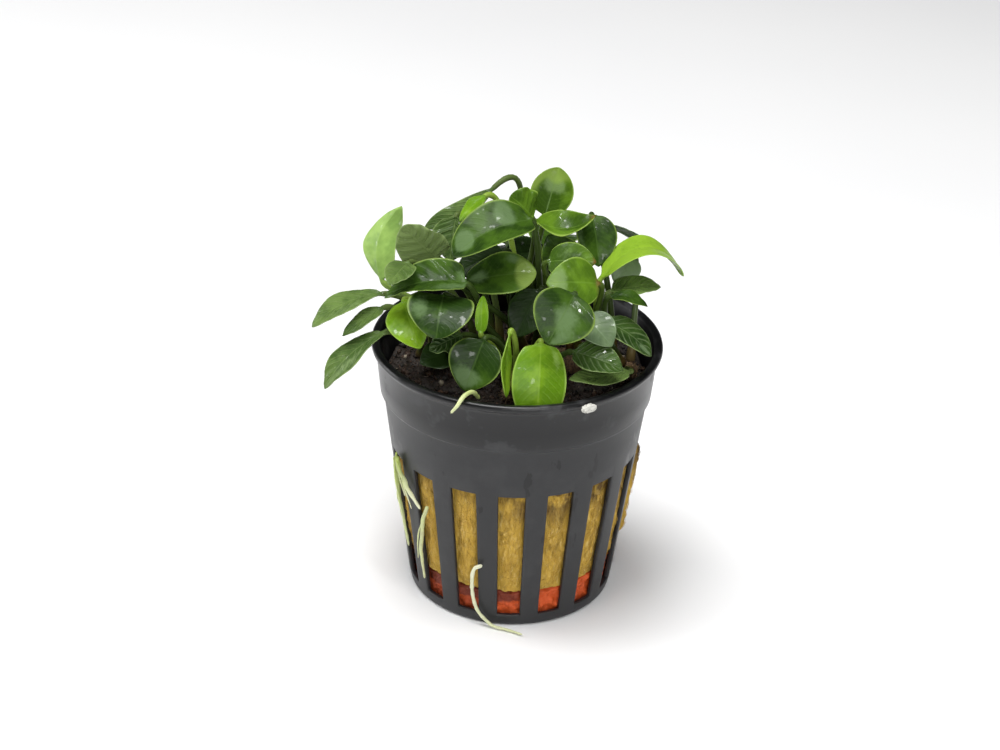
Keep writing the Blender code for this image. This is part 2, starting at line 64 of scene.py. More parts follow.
def unit(vectors: Array) -> Array:
    """Scale vectors to length one: each is divided by its own length.

    Args:
        vectors: One vector or an array of them along the last axis.

    Returns:
        The same array with unit vectors.
    """
    return vectors / np.linalg.norm(vectors, axis=-1, keepdims=True)


def bezier(controls: tuple[Array, Array, Array, Array], shares: Array) -> tuple[Array, Array]:
    """Cubic Bezier curve: the controls weighted by the Bernstein polynomials.

    Args:
        controls: Start, leaving control, arriving control and end.
        shares: Places along the curve from 0 to 1.

    Returns:
        The points and the unit tangents there.
    """
    start, leave, arrive, end = controls
    share = shares[:, None]
    rest = 1.0 - share
    points = rest**3 * start + 3 * rest**2 * share * leave + 3 * rest * share**2 * arrive + share**3 * end
    slopes = rest**2 * (leave - start) + 2 * rest * share * (arrive - leave) + share**2 * (end - arrive)
    return points, unit(slopes)


def route(stops: tuple[Point, ...], shares: Array) -> tuple[Array, Array]:
    """Smooth curve through given stops.

    Each span is a cubic Bezier curve whose inner controls lie a sixth of the way
    between the stops on either side, as in a Catmull-Rom curve.

    Args:
        stops: The places that the curve passes, in millimetres.
        shares: Places along the curve from 0 to 1.

    Returns:
        The points and the unit tangents there.
    """
    places = np.asarray(stops, float)
    spans = len(places) - 1
    padded = np.vstack([2 * places[0] - places[1], places, 2 * places[-1] - places[-2]])
    span = np.minimum((shares * spans).astype(int), spans - 1)
    before, start, end, after = (padded[span + step] for step in range(4))
    controls = (start, start + (end - before) / 6.0, end - (after - start) / 6.0, end)
    return bezier(controls, shares * spans - span)


def smooth_step(values: Array, low: float, high: float) -> Array:
    """Rise from 0 to 1 between two values: 3 x squared less 2 x cubed."""
    share = np.clip((values - low) / (high - low), 0.0, 1.0)
    return share * share * (3.0 - 2.0 * share)


def hill(values: Array, middle: float, reach: float) -> Array:
    """A round hill of height one: e to the minus squared distance over reach."""
    return np.exp(-(((values - middle) / reach) ** 2))


def turn_steps(count: int) -> Array:
    """Angles at even steps once round."""
    return np.arange(count) * TURN / count


def around(radius: Array | float, angles: Array, heights: Array | float) -> Array:
    """Points round the pot's axis: (radius cosine, radius sine, height)."""
    parts = np.broadcast_arrays(radius * np.cos(angles), radius * np.sin(angles), heights)
    return np.stack(parts, axis=-1)


@dataclass(frozen=True)
class Lumps:
    """A smooth random field over space.

    Its value is a sum of plane sine waves, sine of (place times direction over
    wave length plus phase), scaled so that it mostly stays between -1 and 1.
    """

    size: float
    seed: int
    waves: int = 20

    def at(self, places: Array) -> Array:
        """Value of the field at each place.

        Args:
            places: Points in millimetres along the last axis.

        Returns:
            One number for each point.
        """
        source = np.random.default_rng(self.seed)
        directions = unit(source.normal(size=(self.waves, 3)))
        lengths = self.size * source.uniform(0.7, 1.6, self.waves)
        phases = source.uniform(0.0, TURN, self.waves)
        angles = TURN * places @ (directions / lengths[:, None]).T + phases
        return np.sin(angles).sum(axis=-1) / math.sqrt(self.waves)


# Meshes


def grid_faces(rows: int, columns: int, wrap: bool) -> Array:
    """Quads between the neighbouring points of a grid stored row by row.

    Args:
        rows: How many rows the grid has.
        columns: How many points a row has.
        wrap: Whether the last column joins the first.

    Returns:
        Four point numbers for each quad.
    """
    row, column = np.meshgrid(np.arange(rows - 1), np.arange(columns if wrap else columns - 1), indexing="ij")
    here = row * columns
    after = (column + 1) % columns
    quads = np.stack([here + column, here + after, here + columns + after, here + columns + column], axis=-1)
    return quads.reshape(-1, 4)


def fan_faces(ring: Array, pole: int, outwards: bool) -> Array:
    """Triangles from a ring of point numbers to one pole.

    Args:
        ring: Point numbers in their order round the ring.
        pole: The pole's point number.
        outwards: Whether the pole lies ahead of the ring.

    Returns:
        Three point numbers for each triangle.
    """
    after = np.roll(ring, -1)
    poles = np.full(len(ring), pole)
    return np.stack([ring, after, poles] if outwards else [after, ring, poles], axis=-1)


@dataclass
class Skin:
    """Surfaces gathered for one mesh, with the values painted on their points."""

    points: list[Array] = field(default_factory=list)
    quads: list[Array] = field(default_factory=list)
    triangles: list[Array] = field(default_factory=list)
    paints: dict[str, list[Array]] = field(default_factory=dict)
    count: int = 0

    def add(self, points: Array, quads: Array | None, triangles: Array | None, paints: Paints) -> None:
        """Add one surface.

        Args:
            points: Its points in millimetres.
            quads: Point numbers of its quads, if any.
            triangles: Point numbers of its triangles, if any.
            paints: Three values for each point, under a name.
        """
        self.points.append(points)
        if quads is not None:
            self.quads.append(quads + self.count)
        if triangles is not None:
            self.triangles.append(triangles + self.count)
        for name, values in paints.items():
            self.paints.setdefault(name, []).append(values)
        self.count += len(points)

    def add_tube(self, rings: Array, ends: tuple[Array, Array], paints: Paints) -> None:
        """Add rings joined along a path and closed by a pole at each end.

        Args:
            rings: Points by ring and by place round it, counter-clockwise about
                the way the path goes.
            ends: The poles before the first ring and after the last.
            paints: Three values for each ring point, by name, shaped like rings.
        """
        count, sides = rings.shape[:2]
        points = np.vstack([rings.reshape(-1, 3), np.asarray(ends)])
        first, last = np.arange(sides), np.arange(sides) + (count - 1) * sides
        fans = [fan_faces(first, count * sides, False), fan_faces(last, count * sides + 1, True)]
        closed = {
            name: np.vstack([values.reshape(-1, 3), values[0].mean(axis=0), values[-1].mean(axis=0)])
            for name, values in paints.items()
        }
        self.add(points, grid_faces(count, sides, True), np.vstack(fans), closed)

    def add_strands(self, paths: Array, radii: Array, sides: int, paints: Paints) -> None:
        """Add many thin closed tubes at once.

        A ring is the path's point plus radius times (cosine of the angle times
        one cross direction plus sine times the other).

        Args:
            paths: Points by strand and by station.
            radii: Radius by strand and by station.
            sides: How many sides the tubes have.
            paints: Three values for each strand, by name.
        """
        strands, stations = paths.shape[:2]
        tangents = unit(np.gradient(paths, axis=1))
        across = unit(np.cross(tangents, np.array([0.31, 0.22, 0.92])))
        other = np.cross(tangents, across)
        angles = turn_steps(sides)[:, None]
        circle = np.cos(angles) * across[:, :, None] + np.sin(angles) * other[:, :, None]
        rings = paths[:, :, None] + radii[:, :, None, None] * circle
        points = np.concatenate([rings.reshape(strands, -1, 3), paths[:, :1], paths[:, -1:]], axis=1)
        first, last = np.arange(sides), np.arange(sides) + (stations - 1) * sides
        one = stations * sides
        fans = np.vstack([fan_faces(first, one, False), fan_faces(last, one + 1, True)])
        shift = np.arange(strands)[:, None, None] * (one + 2)
        quads = (grid_faces(stations, sides, True)[None] + shift).reshape(-1, 4)
        triangles = (fans[None] + shift).reshape(-1, 3)
        spread = {name: np.repeat(values, one + 2, axis=0) for name, values in paints.items()}
        self.add(points.reshape(-1, 3), quads, triangles, spread)

    def add_crumbs(self, places: Array, sizes: Array, seed: int, paints: Paints) -> None:
        """Add many small angular lumps, each an icosahedron with moved corners.

        Args:
            places: Their centres in millimetres.
            sizes: Three half sizes for each.
            seed: Seed of the corners' moves.
            paints: Three values for each lump, by name.
        """
        source = np.random.default_rng(seed)
        corners, faces = icosahedron()
        turned = unit(source.normal(size=(len(places), 3)))
        other = unit(np.cross(turned, source.normal(size=(len(places), 3))))
        axes = np.stack([turned, other, np.cross(turned, other)], axis=1) * sizes[:, :, None]
        uneven = source.uniform(0.72, 1.2, (len(places), len(corners), 1))
        points = places[:, None] + (corners[None] * uneven) @ axes
        shift = np.arange(len(places))[:, None, None] * len(corners)
        spread = {name: np.repeat(values, len(corners), axis=0) for name, values in paints.items()}
        self.add(points.reshape(-1, 3), None, (faces[None] + shift).reshape(-1, 3), spread)

    def mesh(self, name: str) -> bpy.types.Mesh:
        """Turn what was gathered into a smooth mesh in metres.

        Args:
            name: The mesh's name.

        Returns:
            The mesh.
        """
        points = np.vstack(self.points) * MM
        every = self.quads + self.triangles
        corners = [faces.ravel() for faces in every]
        sizes = np.concatenate([np.full(len(faces), faces.shape[1]) for faces in every])
        mesh = bpy.data.meshes.new(name)
        mesh.vertices.add(len(points))
        mesh.vertices.foreach_set("co", points.astype(np.float32).ravel())
        loops = np.concatenate(corners).astype(np.int32)
        mesh.loops.add(len(loops))
        mesh.loops.foreach_set("vertex_index", loops)
        mesh.polygons.add(len(sizes))
        mesh.polygons.foreach_set("loop_start", (np.cumsum(sizes) - sizes).astype(np.int32))
        mesh.update(calc_edges=True)
        mesh.validate()
        for paint, values in self.paints.items():
            layer = mesh.attributes.new(paint, "FLOAT_VECTOR", "POINT")
            layer.data.foreach_set("vector", np.vstack(values).astype(np.float32).ravel())
        mesh.shade_smooth()
        return mesh


def icosahedron() -> tuple[Array, Array]:
    """Corners and faces of an icosahedron of radius one.

    The corners are the turns of (0, 1, golden ratio) with all signs, and the
    faces join every three corners that lie one edge apart.

    Returns:
        The corners and the faces, ordered so that the faces look outwards.
    """
    golden = (1.0 + math.sqrt(5.0)) / 2.0
    corners = np.array([
        np.roll((0.0, one, other * golden), turn) for turn in range(3) for one in (-1, 1) for other in (-1, 1)
    ])
    apart = np.linalg.norm(corners[:, None] - corners[None], axis=-1)
    near = np.isclose(apart, 2.0)
    number = np.arange(12)
    a, b, c = np.meshgrid(number, number, number, indexing="ij")
    joined = near[a, b] & near[b, c] & near[a, c] & (a < b) & (b < c)
    faces = np.stack([a[joined], b[joined], c[joined]], axis=-1)
    first, second, third = (corners[faces[:, side]] for side in range(3))
    inwards = np.einsum("ij,ij->i", np.cross(second - first, third - first), first) < 0.0
    faces[inwards] = faces[inwards][:, ::-1]
    return unit(corners), faces


def carried(across: Array, tangents: Array) -> Array:
    """Carry a cross direction along a path.

    At each station the last direction loses its part along the tangent.

    Args:
        across: The direction at the first station.
        tangents: Unit tangents by station.

    Returns:
        One unit direction for each station.
    """
    found = []
    for tangent in tangents:
        across = unit(across - tangent * np.dot(across, tangent))
        found.append(across)
    return np.array(found)


def round_rings(points: Array, tangents: Array, across: Array, radii: Array, sides: int) -> Array:
    """Rings of a tube: point plus radius times cosine and sine of the two cross directions.

    Args:
        points: Stations of the path.
        tangents: Unit tangents there.
        across: Unit cross directions there.
        radii: Radius by station, or by station and side.
        sides: How many points a ring has.

    Returns:
        Points by station and side.
    """
    other = np.cross(tangents, across)
    angles = turn_steps(sides)[:, None]
    circle = np.cos(angles) * across[:, None] + np.sin(angles) * other[:, None]
    radii = radii[:, None] if radii.ndim == 1 else radii
    return points[:, None] + radii[..., None] * circle


def constant_paint(shape: tuple[int, ...], values: Point) -> Array:
    """The same three values on every point of a grid."""
    return np.broadcast_to(np.array(values, float), (*shape, 3)).copy()


def single_paint(values: Array, slot: int = 0) -> Array:
    """Three painted values, of which one is given and the others are 0."""
    paint = np.zeros((*values.shape, 3))
    paint[..., slot] = values
    return paint


def put(name: str, data: bpy.types.ID) -> bpy.types.Object:
    """Make an object of some data and link it to the scene."""
    made = bpy.data.objects.new(name, data)
    bpy.context.scene.collection.objects.link(made)
    return made


# Finishes


class Value:
    """A socket that holds a number, with arithmetic that adds Math nodes."""

    def __init__(self, bench: "Bench", socket: bpy.types.NodeSocket) -> None:
        """Keep the socket and the bench that makes nodes for it."""
        self.bench = bench
        self.socket = socket

    def __add__(self, other: "Value | float") -> "Value":
        """This plus other."""
        return self.bench.maths("ADD", self, other)

    def __radd__(self, other: float) -> "Value":
        """Other plus this."""
        return self.bench.maths("ADD", other, self)

    def __sub__(self, other: "Value | float") -> "Value":
        """This less other."""
        return self.bench.maths("SUBTRACT", self, other)

    def __rsub__(self, other: float) -> "Value":
        """Other less this."""
        return self.bench.maths("SUBTRACT", other, self)

    def __mul__(self, other: "Value | float") -> "Value":
        """This times other."""
        return self.bench.maths("MULTIPLY", self, other)

    def __rmul__(self, other: float) -> "Value":
        """Other times this."""
        return self.bench.maths("MULTIPLY", other, self)

    def __abs__(self) -> "Value":
        """This without its sign."""
        return self.bench.maths("ABSOLUTE", self)

    def fraction(self) -> "Value":
        """What is left after the whole number."""
        return self.bench.maths("FRACT", self)

    def clamped(self) -> "Value":
        """This kept between 0 and 1."""
        return self.bench.maths("MULTIPLY", self, 1.0, clamp=True)

    def rise(self, low: float, high: float) -> "Value":
        """A smooth rise from 0 at low to 1 at high."""
        node = self.bench.node(
            "ShaderNodeMapRange",
            {"interpolation_type": "SMOOTHSTEP"},
            {"Value": self, "From Min": low, "From Max": high},
        )
        return Value(self.bench, node.outputs["Result"])

    def rise_between(self, edges: tuple[float, float]) -> "Value":
        """The same for a place in metres, between two places in millimetres."""
        return self.rise(edges[0] * MM, edges[1] * MM)


class Bench:
    """Makes one material's nodes."""

    def __init__(self, name: str) -> None:
        """Start a material with a shader and its output."""
        self.material = bpy.data.materials.new(name)
        self.material.use_nodes = True
        self.tree = self.material.node_tree
        self.shader = self.tree.nodes["Principled BSDF"]

    def node(
        self, kind: str, settings: dict[str, object], sockets: dict[str | int, object]
    ) -> bpy.types.Node:
        """Add a node of any kind.

        Args:
            kind: The node's type.
            settings: Its properties, set before its sockets.
            sockets: Values or links of its inputs, by name or number.

        Returns:
            The node.
        """
        made = self.tree.nodes.new(kind)
        for name, value in settings.items():
            setattr(made, name, value)
        for name, value in sockets.items():
            self.feed(made.inputs[name], value)
        return made

    def feed(self, socket: bpy.types.NodeSocket, value: object) -> None:
        """Link a socket, or set its own value.

        Args:
            socket: The input.
            value: A Value, a socket, a number or a tuple.
        """
        if isinstance(value, Value):
            value = value.socket
        if isinstance(value, bpy.types.NodeSocket):
            self.tree.links.new(value, socket)
        elif isinstance(value, tuple) and len(value) == 3 and socket.type == "RGBA":
            socket.default_value = (*value, 1.0)
        else:
            socket.default_value = value

    def maths(self, operation: str, *operands: "Value | float", clamp: bool = False) -> Value:
        """Add a Math node on one or two numbers.

        Args:
            operation: The node's operation.
            operands: Values or numbers.
            clamp: Whether the result is kept between 0 and 1.

        Returns:
            The result.
        """
        settings = {"operation": operation, "use_clamp": clamp}
        made = self.node("ShaderNodeMath", settings, dict(enumerate(operands)))
        return Value(self, made.outputs[0])

    def blend(self, share: "Value | float", first: object, second: object) -> bpy.types.NodeSocket:
        """Mix two colours.

        Args:
            share: 0 gives the first colour and 1 the second.
            first: A colour or a colour socket.
            second: A colour or a colour socket.

        Returns:
            The mixed colour's socket.
        """
        made = self.node("ShaderNodeMix", {"data_type": "RGBA"}, {0: share, 6: first, 7: second})
        return made.outputs[2]

    def places(self, stretch: Point = (1.0, 1.0, 1.0)) -> bpy.types.NodeSocket:
        """Object coordinates in metres, each times its stretch."""
        found = self.node("ShaderNodeTexCoord", {}, {}).outputs["Object"]
        if stretch == (1.0, 1.0, 1.0):
            return found
        return self.node("ShaderNodeVectorMath", {"operation": "MULTIPLY"}, {0: found, 1: stretch}).outputs[0]

    def parts(self, vector: bpy.types.NodeSocket) -> tuple[Value, Value, Value]:
        """The three numbers of a vector."""
        made = self.node("ShaderNodeSeparateXYZ", {}, {0: vector})
        return Value(self, made.outputs[0]), Value(self, made.outputs[1]), Value(self, made.outputs[2])

    def painted(self, name: str) -> tuple[Value, Value, Value]:
        """The three values painted on the mesh under a name."""
        made = self.node("ShaderNodeAttribute", {"attribute_name": name}, {})
        return self.parts(made.outputs["Vector"])

    def cloud(
        self, vector: bpy.types.NodeSocket, size: float, detail: float = 2.0, rough: float = 0.5
    ) -> Value:
        """Soft noise from 0 to 1.

        Args:
            vector: The coordinates in metres.
            size: The size of its patches in millimetres.
            detail: How many finer layers it has.
            rough: How strong the finer layers are.

        Returns:
            The noise.
        """
        sockets = {"Vector": vector, "Scale": 1.0 / (size * MM), "Detail": detail, "Roughness": rough}
        return Value(self, self.node("ShaderNodeTexNoise", {}, sockets).outputs[0])

    def cells(self, vector: bpy.types.NodeSocket, size: float) -> Value:
        """Distance from the centres of random cells, 0 at a centre."""
        sockets = {"Vector": vector, "Scale": 1.0 / (size * MM)}
        return Value(self, self.node("ShaderNodeTexVoronoi", {}, sockets).outputs["Distance"])

    def emboss(self, height: Value, depth: float, strength: float) -> bpy.types.NodeSocket:
        """A normal bent by a height from 0 to 1, with its depth in millimetres."""
        sockets = {"Height": height, "Distance": depth * MM, "Strength": strength}
        return self.node("ShaderNodeBump", {}, sockets).outputs["Normal"]

    def finish(self, **sockets: object) -> bpy.types.Material:
        """Feed the shader's sockets, whose names have their spaces as underscores.

        Args:
            sockets: Values or links by name.

        Returns:
            The material.
        """
        for name, value in sockets.items():
            self.feed(self.shader.inputs[name.replace("_", " ")], value)
        return self.material


@dataclass(frozen=True)
class PlasticFinish:
    """Black moulded plastic with dried water marks and darker wet spots."""

    name: str = "net_pot_plastic"
    body: Colour = (0.018, 0.0185, 0.020)
    wet: Colour = (0.003, 0.003, 0.0035)
    dust: Colour = (0.044, 0.044, 0.046)
    roughness: float = 0.44
    collar_edge: tuple[float, float] = (41.6, 42.8)
    mark_size: float = 9.0
    grain_size: float = 0.35
    drip_size: float = 3.2
    drip_stretch: Point = (1.0, 1.0, 0.4)
    relief: float = 0.03

    def paint(self) -> bpy.types.Material:
        """Make the material."""
        bench = Bench(self.name)
        places = bench.places()
        height = bench.parts(places)[2]
        collar = height.rise_between(self.collar_edge)
        marks = bench.cloud(places, self.mark_size, 4.0, 0.62)
        fine = bench.cloud(places, self.grain_size, 2.0)
        drips = bench.cloud(bench.places(self.drip_stretch), self.drip_size, 3.0, 0.6)
        spots = drips.rise(0.625, 0.66)
        film_and_sheen = (collar * (1.0 - marks.rise(0.53, 0.59)) + spots).clamped()
        dusty = marks.rise(0.50, 0.74) * (0.35 + 0.35 * collar)
        colour = bench.blend(dusty, self.body, self.dust)
        colour = bench.blend(film_and_sheen * 0.85, colour, self.wet)
        relief = fine * 0.6 + marks * 0.4
        return bench.finish(
            Base_Color=colour,
            Roughness=self.roughness + 0.16 * (marks - 0.5) - 0.10 * film_and_sheen,
            Specular_IOR_Level=0.4,
            Normal=bench.emboss(relief, self.relief, 0.5),
        )


@dataclass(frozen=True)
class WoolFinish:
    """Damp mineral wool: golden fibres, browner towards the top and the right."""

    name: str = "mineral_wool"
    gold: Colour = (0.54, 0.335, 0.042)
    pale: Colour = (0.76, 0.58, 0.20)
    brown: Colour = (0.11, 0.058, 0.010)
    stain_heights: tuple[float, float] = (21.0, 32.0)
    stain_side: tuple[float, float] = (-6.0, 8.0)
    strand_size: float = 0.55
    strand_stretch: Point = (1.0, 1.0, 0.22)
    clump_size: float = 4.5
    relief: float = 0.35

    def paint(self) -> bpy.types.Material:
        """Make the material."""
        bench = Bench(self.name)
        places = bench.places()
        strands = bench.cloud(bench.places(self.strand_stretch), self.strand_size, 4.0, 0.65)
        clumps = bench.cloud(places, self.clump_size, 3.0, 0.6)
        height = bench.parts(places)[2]
        tint = bench.painted("tint")[0]
        dark = (1.0 - strands.rise(0.34, 0.5)) * 0.2
        aside = bench.parts(places)[0].rise_between(self.stain_side)
        stained = height.rise_between(self.stain_heights) * clumps.rise(0.36, 0.56)
        stained = stained * (0.5 + aside)
        colour = bench.blend(strands.rise(0.5, 0.72) * 0.6 + tint * 0.5, self.gold, self.pale)
        browned = (dark + stained * 0.8 + clumps.rise(0.55, 0.7) * 0.25).clamped()
        colour = bench.blend(browned, colour, self.brown)
        return bench.finish(
            Base_Color=colour,
            Roughness=0.72 + 0.2 * strands,
            Normal=bench.emboss(strands, self.relief, 0.9),
        )


@dataclass(frozen=True)
class ClayFinish:
    """Rough damp red clay with painted shade: darker on the left and most of all at the top there."""

    name: str = "red_clay"
    bright: Colour = (0.66, 0.095, 0.014)
    dark: Colour = (0.18, 0.024, 0.005)
    chalk: Colour = (0.72, 0.38, 0.24)
    grain_size: float = 0.7
    patch_size: float = 3.0
    top_edge: tuple[float, float] = (4.6, 5.4)
    left_edge: tuple[float, float] = (1.5, 5.0)
    far_left_edge: tuple[float, float] = (-9.0, 1.0)
    relief: float = 0.3

    def paint(self) -> bpy.types.Material:
        """Make the material."""
        bench = Bench(self.name)
        places = bench.places()
        aside, _, height = bench.parts(places)
        grain = bench.cloud(places, self.grain_size, 4.0, 0.7)
        patches = bench.cloud(places, self.patch_size, 2.0)
        # Painted shade: the clay is darkened on the left and most at its top edge there; random patches
        # mottle it.
        left = 1.0 - aside.rise_between(self.left_edge)
        painted_shade_and_mottle = height.rise_between(self.top_edge) * left * 0.95
        painted_shade_and_mottle = painted_shade_and_mottle + (1.0 - aside.rise_between(self.far_left_edge)) * 0.55
        painted_shade_and_mottle = (painted_shade_and_mottle + (patches - 0.5) * 0.9).clamped()
        colour = bench.blend(painted_shade_and_mottle, self.bright, self.dark)
        colour = bench.blend(grain.rise(0.64, 0.76) * 0.5, colour, self.chalk)
        return bench.finish(
            Base_Color=colour,
            Roughness=0.45 + 0.4 * grain,
            Normal=bench.emboss(grain, self.relief, 0.8),
        )


@dataclass(frozen=True)
class PeatFinish:
    """Wet peat: nearly black crumbs with rust-brown and pale ones among them."""

    name: str = "peat"
    black: Colour = (0.010, 0.008, 0.006)
    rust: Colour = (0.075, 0.036, 0.018)
    pale: Colour = (0.30, 0.25, 0.19)
    grain_size: float = 0.5
    relief: float = 0.25

    def paint(self) -> bpy.types.Material:
        """Make the material."""
        bench = Bench(self.name)
        places = bench.places()
        tint = bench.painted("tint")[0]
        grain = bench.cloud(places, self.grain_size, 3.0, 0.7)
        colour = bench.blend((tint * 1.1 + grain.rise(0.5, 0.8) * 0.4).clamped(), self.black, self.rust)
        colour = bench.blend(tint.rise(0.93, 0.96), colour, self.pale)
        return bench.finish(
            Base_Color=colour,
            Roughness=0.42 + 0.4 * grain,
            Normal=bench.emboss(grain, self.relief, 0.8),
        )


@dataclass(frozen=True)
class BarkFinish:
    """Brown rhizome skin with paler rings and fuzz."""

    name: str = "rhizome_skin"
    brown: Colour = (0.190, 0.110, 0.050)
    dark: Colour = (0.055, 0.033, 0.017)
    tan: Colour = (0.30, 0.21, 0.11)
    ring_size: float = 1.5
    grain_size: float = 0.45
    relief: float = 0.25

    def paint(self) -> bpy.types.Material:
        """Make the material."""
        bench = Bench(self.name)
        places = bench.places()
        along, tint, _ = bench.painted("tint")
        rings = (along * 0.7 + bench.cloud(places, self.ring_size) * 0.6).fraction()
        grain = bench.cloud(places, self.grain_size, 4.0, 0.7)
        colour = bench.blend(grain.rise(0.35, 0.65), self.dark, self.brown)
        colour = bench.blend((rings.rise(0.8, 1.0) * 0.5 + tint * 0.7).clamped(), colour, self.tan)
        return bench.finish(
            Base_Color=colour,
            Roughness=0.55 + 0.35 * grain,
            Normal=bench.emboss(grain + rings * 0.4, self.relief, 0.8),
        )


@dataclass(frozen=True)
class RootFinish:
    """Damp root skin that goes from green-yellow to white along the root."""

    name: str = "root_skin"
    green: Colour = (0.40, 0.50, 0.09)
    cream: Colour = (0.76, 0.75, 0.56)
    brown: Colour = (0.20, 0.13, 0.05)
    patch_size: float = 1.6
    relief: float = 0.08

    def paint(self) -> bpy.types.Material:
        """Make the material."""
        bench = Bench(self.name)
        places = bench.places()
        whiteness, age, _ = bench.painted("tint")
        patches = bench.cloud(places, self.patch_size, 3.0, 0.6)
        colour = bench.blend((whiteness + (patches - 0.5) * 0.5).clamped(), self.green, self.cream)
        colour = bench.blend(age * patches.rise(0.35, 0.6), colour, self.brown)
        return bench.finish(
            Base_Color=colour,
            Roughness=0.30 + 0.3 * patches,
            Normal=bench.emboss(patches, self.relief, 0.6),
        )


@dataclass(frozen=True)
class GrainFinish:
    """Chalky white grain full of small pores."""

    name: str = "perlite"
    white: Colour = (0.62, 0.61, 0.56)
    pore: Colour = (0.24, 0.23, 0.19)
    pore_size: float = 0.45
    dust_size: float = 0.9
    relief: float = 0.12

    def paint(self) -> bpy.types.Material:
        """Make the material."""
        bench = Bench(self.name)
        places = bench.places()
        pores = bench.cells(places, self.pore_size)
        dust = bench.cloud(places, self.dust_size, 3.0, 0.6)
        colour = bench.blend((1.0 - pores.rise(0.1, 0.45)) * 0.6, self.white, self.pore)
        return bench.finish(
            Base_Color=colour,
            Roughness=0.8 + 0.15 * dust,
            Normal=bench.emboss(pores + dust, self.relief, 0.8),
        )


@dataclass(frozen=True)
class FloorFinish:
    """Plain pale studio floor with a barely uneven tone."""

    name: str = "studio_floor"
    tone: Colour = (0.92, 0.92, 0.92)
    other: Colour = (0.89, 0.89, 0.895)
    drift_size: float = 180.0

    def paint(self) -> bpy.types.Material:
        """Make the material."""
        bench = Bench(self.name)
        drift = bench.cloud(bench.places(), self.drift_size, 2.0)
        colour = bench.blend(drift.rise(0.3, 0.7), self.tone, self.other)
        return bench.finish(Base_Color=colour, Roughness=0.75 + 0.1 * drift)


@dataclass(frozen=True)
class LeafFinish:
    """Skin of a wet anubias leaf in one tone.

    The painted values are the place along and across the blade and which face
    it is, and how pale and brown it is there and how much painted sheen, a pale
    reflection painted into the colour, it has.
    """

    name: str
    deep: Colour
    fresh: Colour
    vein: Colour
    rim: Colour
    # Colour of the painted sheen, a pale reflection painted into the blade, and of the paler underside.
    sheen_and_underside: Colour
    # Petiole colour; in the dark tones it is darkened as painted shade for the stalks inside the crown.
    stalk: Colour
    gloss: float = 0.36
    film_and_sheen: float = 0.05
    ribs: float = 11.0
    veined: float = 0.08
    relief: float = 0.08
    brown: Colour = (0.16, 0.055, 0.02)
    patch_size: float = 4.5
    speck_size: float = 0.6
    glint_size: float = 1.3
    coat_roughness: float = 0.07
    specular: float = 0.1

    def paint(self) -> bpy.types.Material:
        """Make the material."""
        bench = Bench(self.name)
        places = bench.places()
        along, aside, upper = bench.painted("blade")
        pale, brown, painted_sheen = bench.painted("mood")
        across = abs(aside)
        patches = bench.cloud(places, self.patch_size, 3.0, 0.55)
        speck = bench.cloud(places, self.speck_size, 3.0, 0.65)
        glints = bench.cloud(places, self.glint_size, 1.0, 0.4).rise(0.62, 0.72)
        slant = (along - across * 0.2 - across * across * 0.1) * self.ribs
        line = abs((slant + patches * 0.35).fraction() - 0.5)
        veins = (1.0 - line.rise(0.0, 0.2)) * across.rise(0.04, 0.2) * (1.0 - across.rise(0.75, 1.0))
        midrib = 1.0 - across.rise(0.01, 0.05)
        edge = across.rise(0.9, 0.99)
        blade = along.rise(-0.01, 0.03)
        # Mask of the painted sheen: pale reflection patches from the sheen spots and noise.
        film_and_sheen = (painted_sheen + (patches - 0.5) * 0.9 + (speck - 0.5) * 0.4).rise(0.32, 0.85)
        colour = bench.blend((patches.rise(0.36, 0.64) * 0.8 + pale).clamped(), self.deep, self.fresh)
        colour = bench.blend((speck.rise(0.5, 0.75) * 0.15).clamped(), colour, self.vein)
        # Painted sheen: the colour is blended towards a pale reflection under the mask.
        colour = bench.blend(film_and_sheen * 0.75, colour, self.sheen_and_underside)
        colour = bench.blend(((veins * self.veined + midrib * 0.35) * blade).clamped(), colour, self.vein)
        colour = bench.blend(edge * 0.7, colour, self.rim)
        colour = bench.blend((1.0 - upper.rise(0.35, 0.65)) * 0.3, colour, self.sheen_and_underside)
        colour = bench.blend((pale - 0.6).rise(0.0, 0.6) * 0.8, colour, self.rim)
        colour = bench.blend(1.0 - blade, colour, self.stalk)
        colour = bench.blend(brown.clamped(), colour, self.brown)
        height = veins * 4.0 * self.veined + midrib * 0.4 + speck * 0.35 + patches * 1.4 + glints * 0.5
        return bench.finish(
            Base_Color=colour,
            Roughness=(self.gloss + 0.2 * (patches - 0.5) + 0.1 * film_and_sheen).clamped(),
            Coat_Weight=(self.film_and_sheen + 0.7 * glints).clamped(),
            Coat_Roughness=self.coat_roughness,
            Specular_IOR_Level=self.specular,
            Normal=bench.emboss(height, self.relief, 0.6),
        )


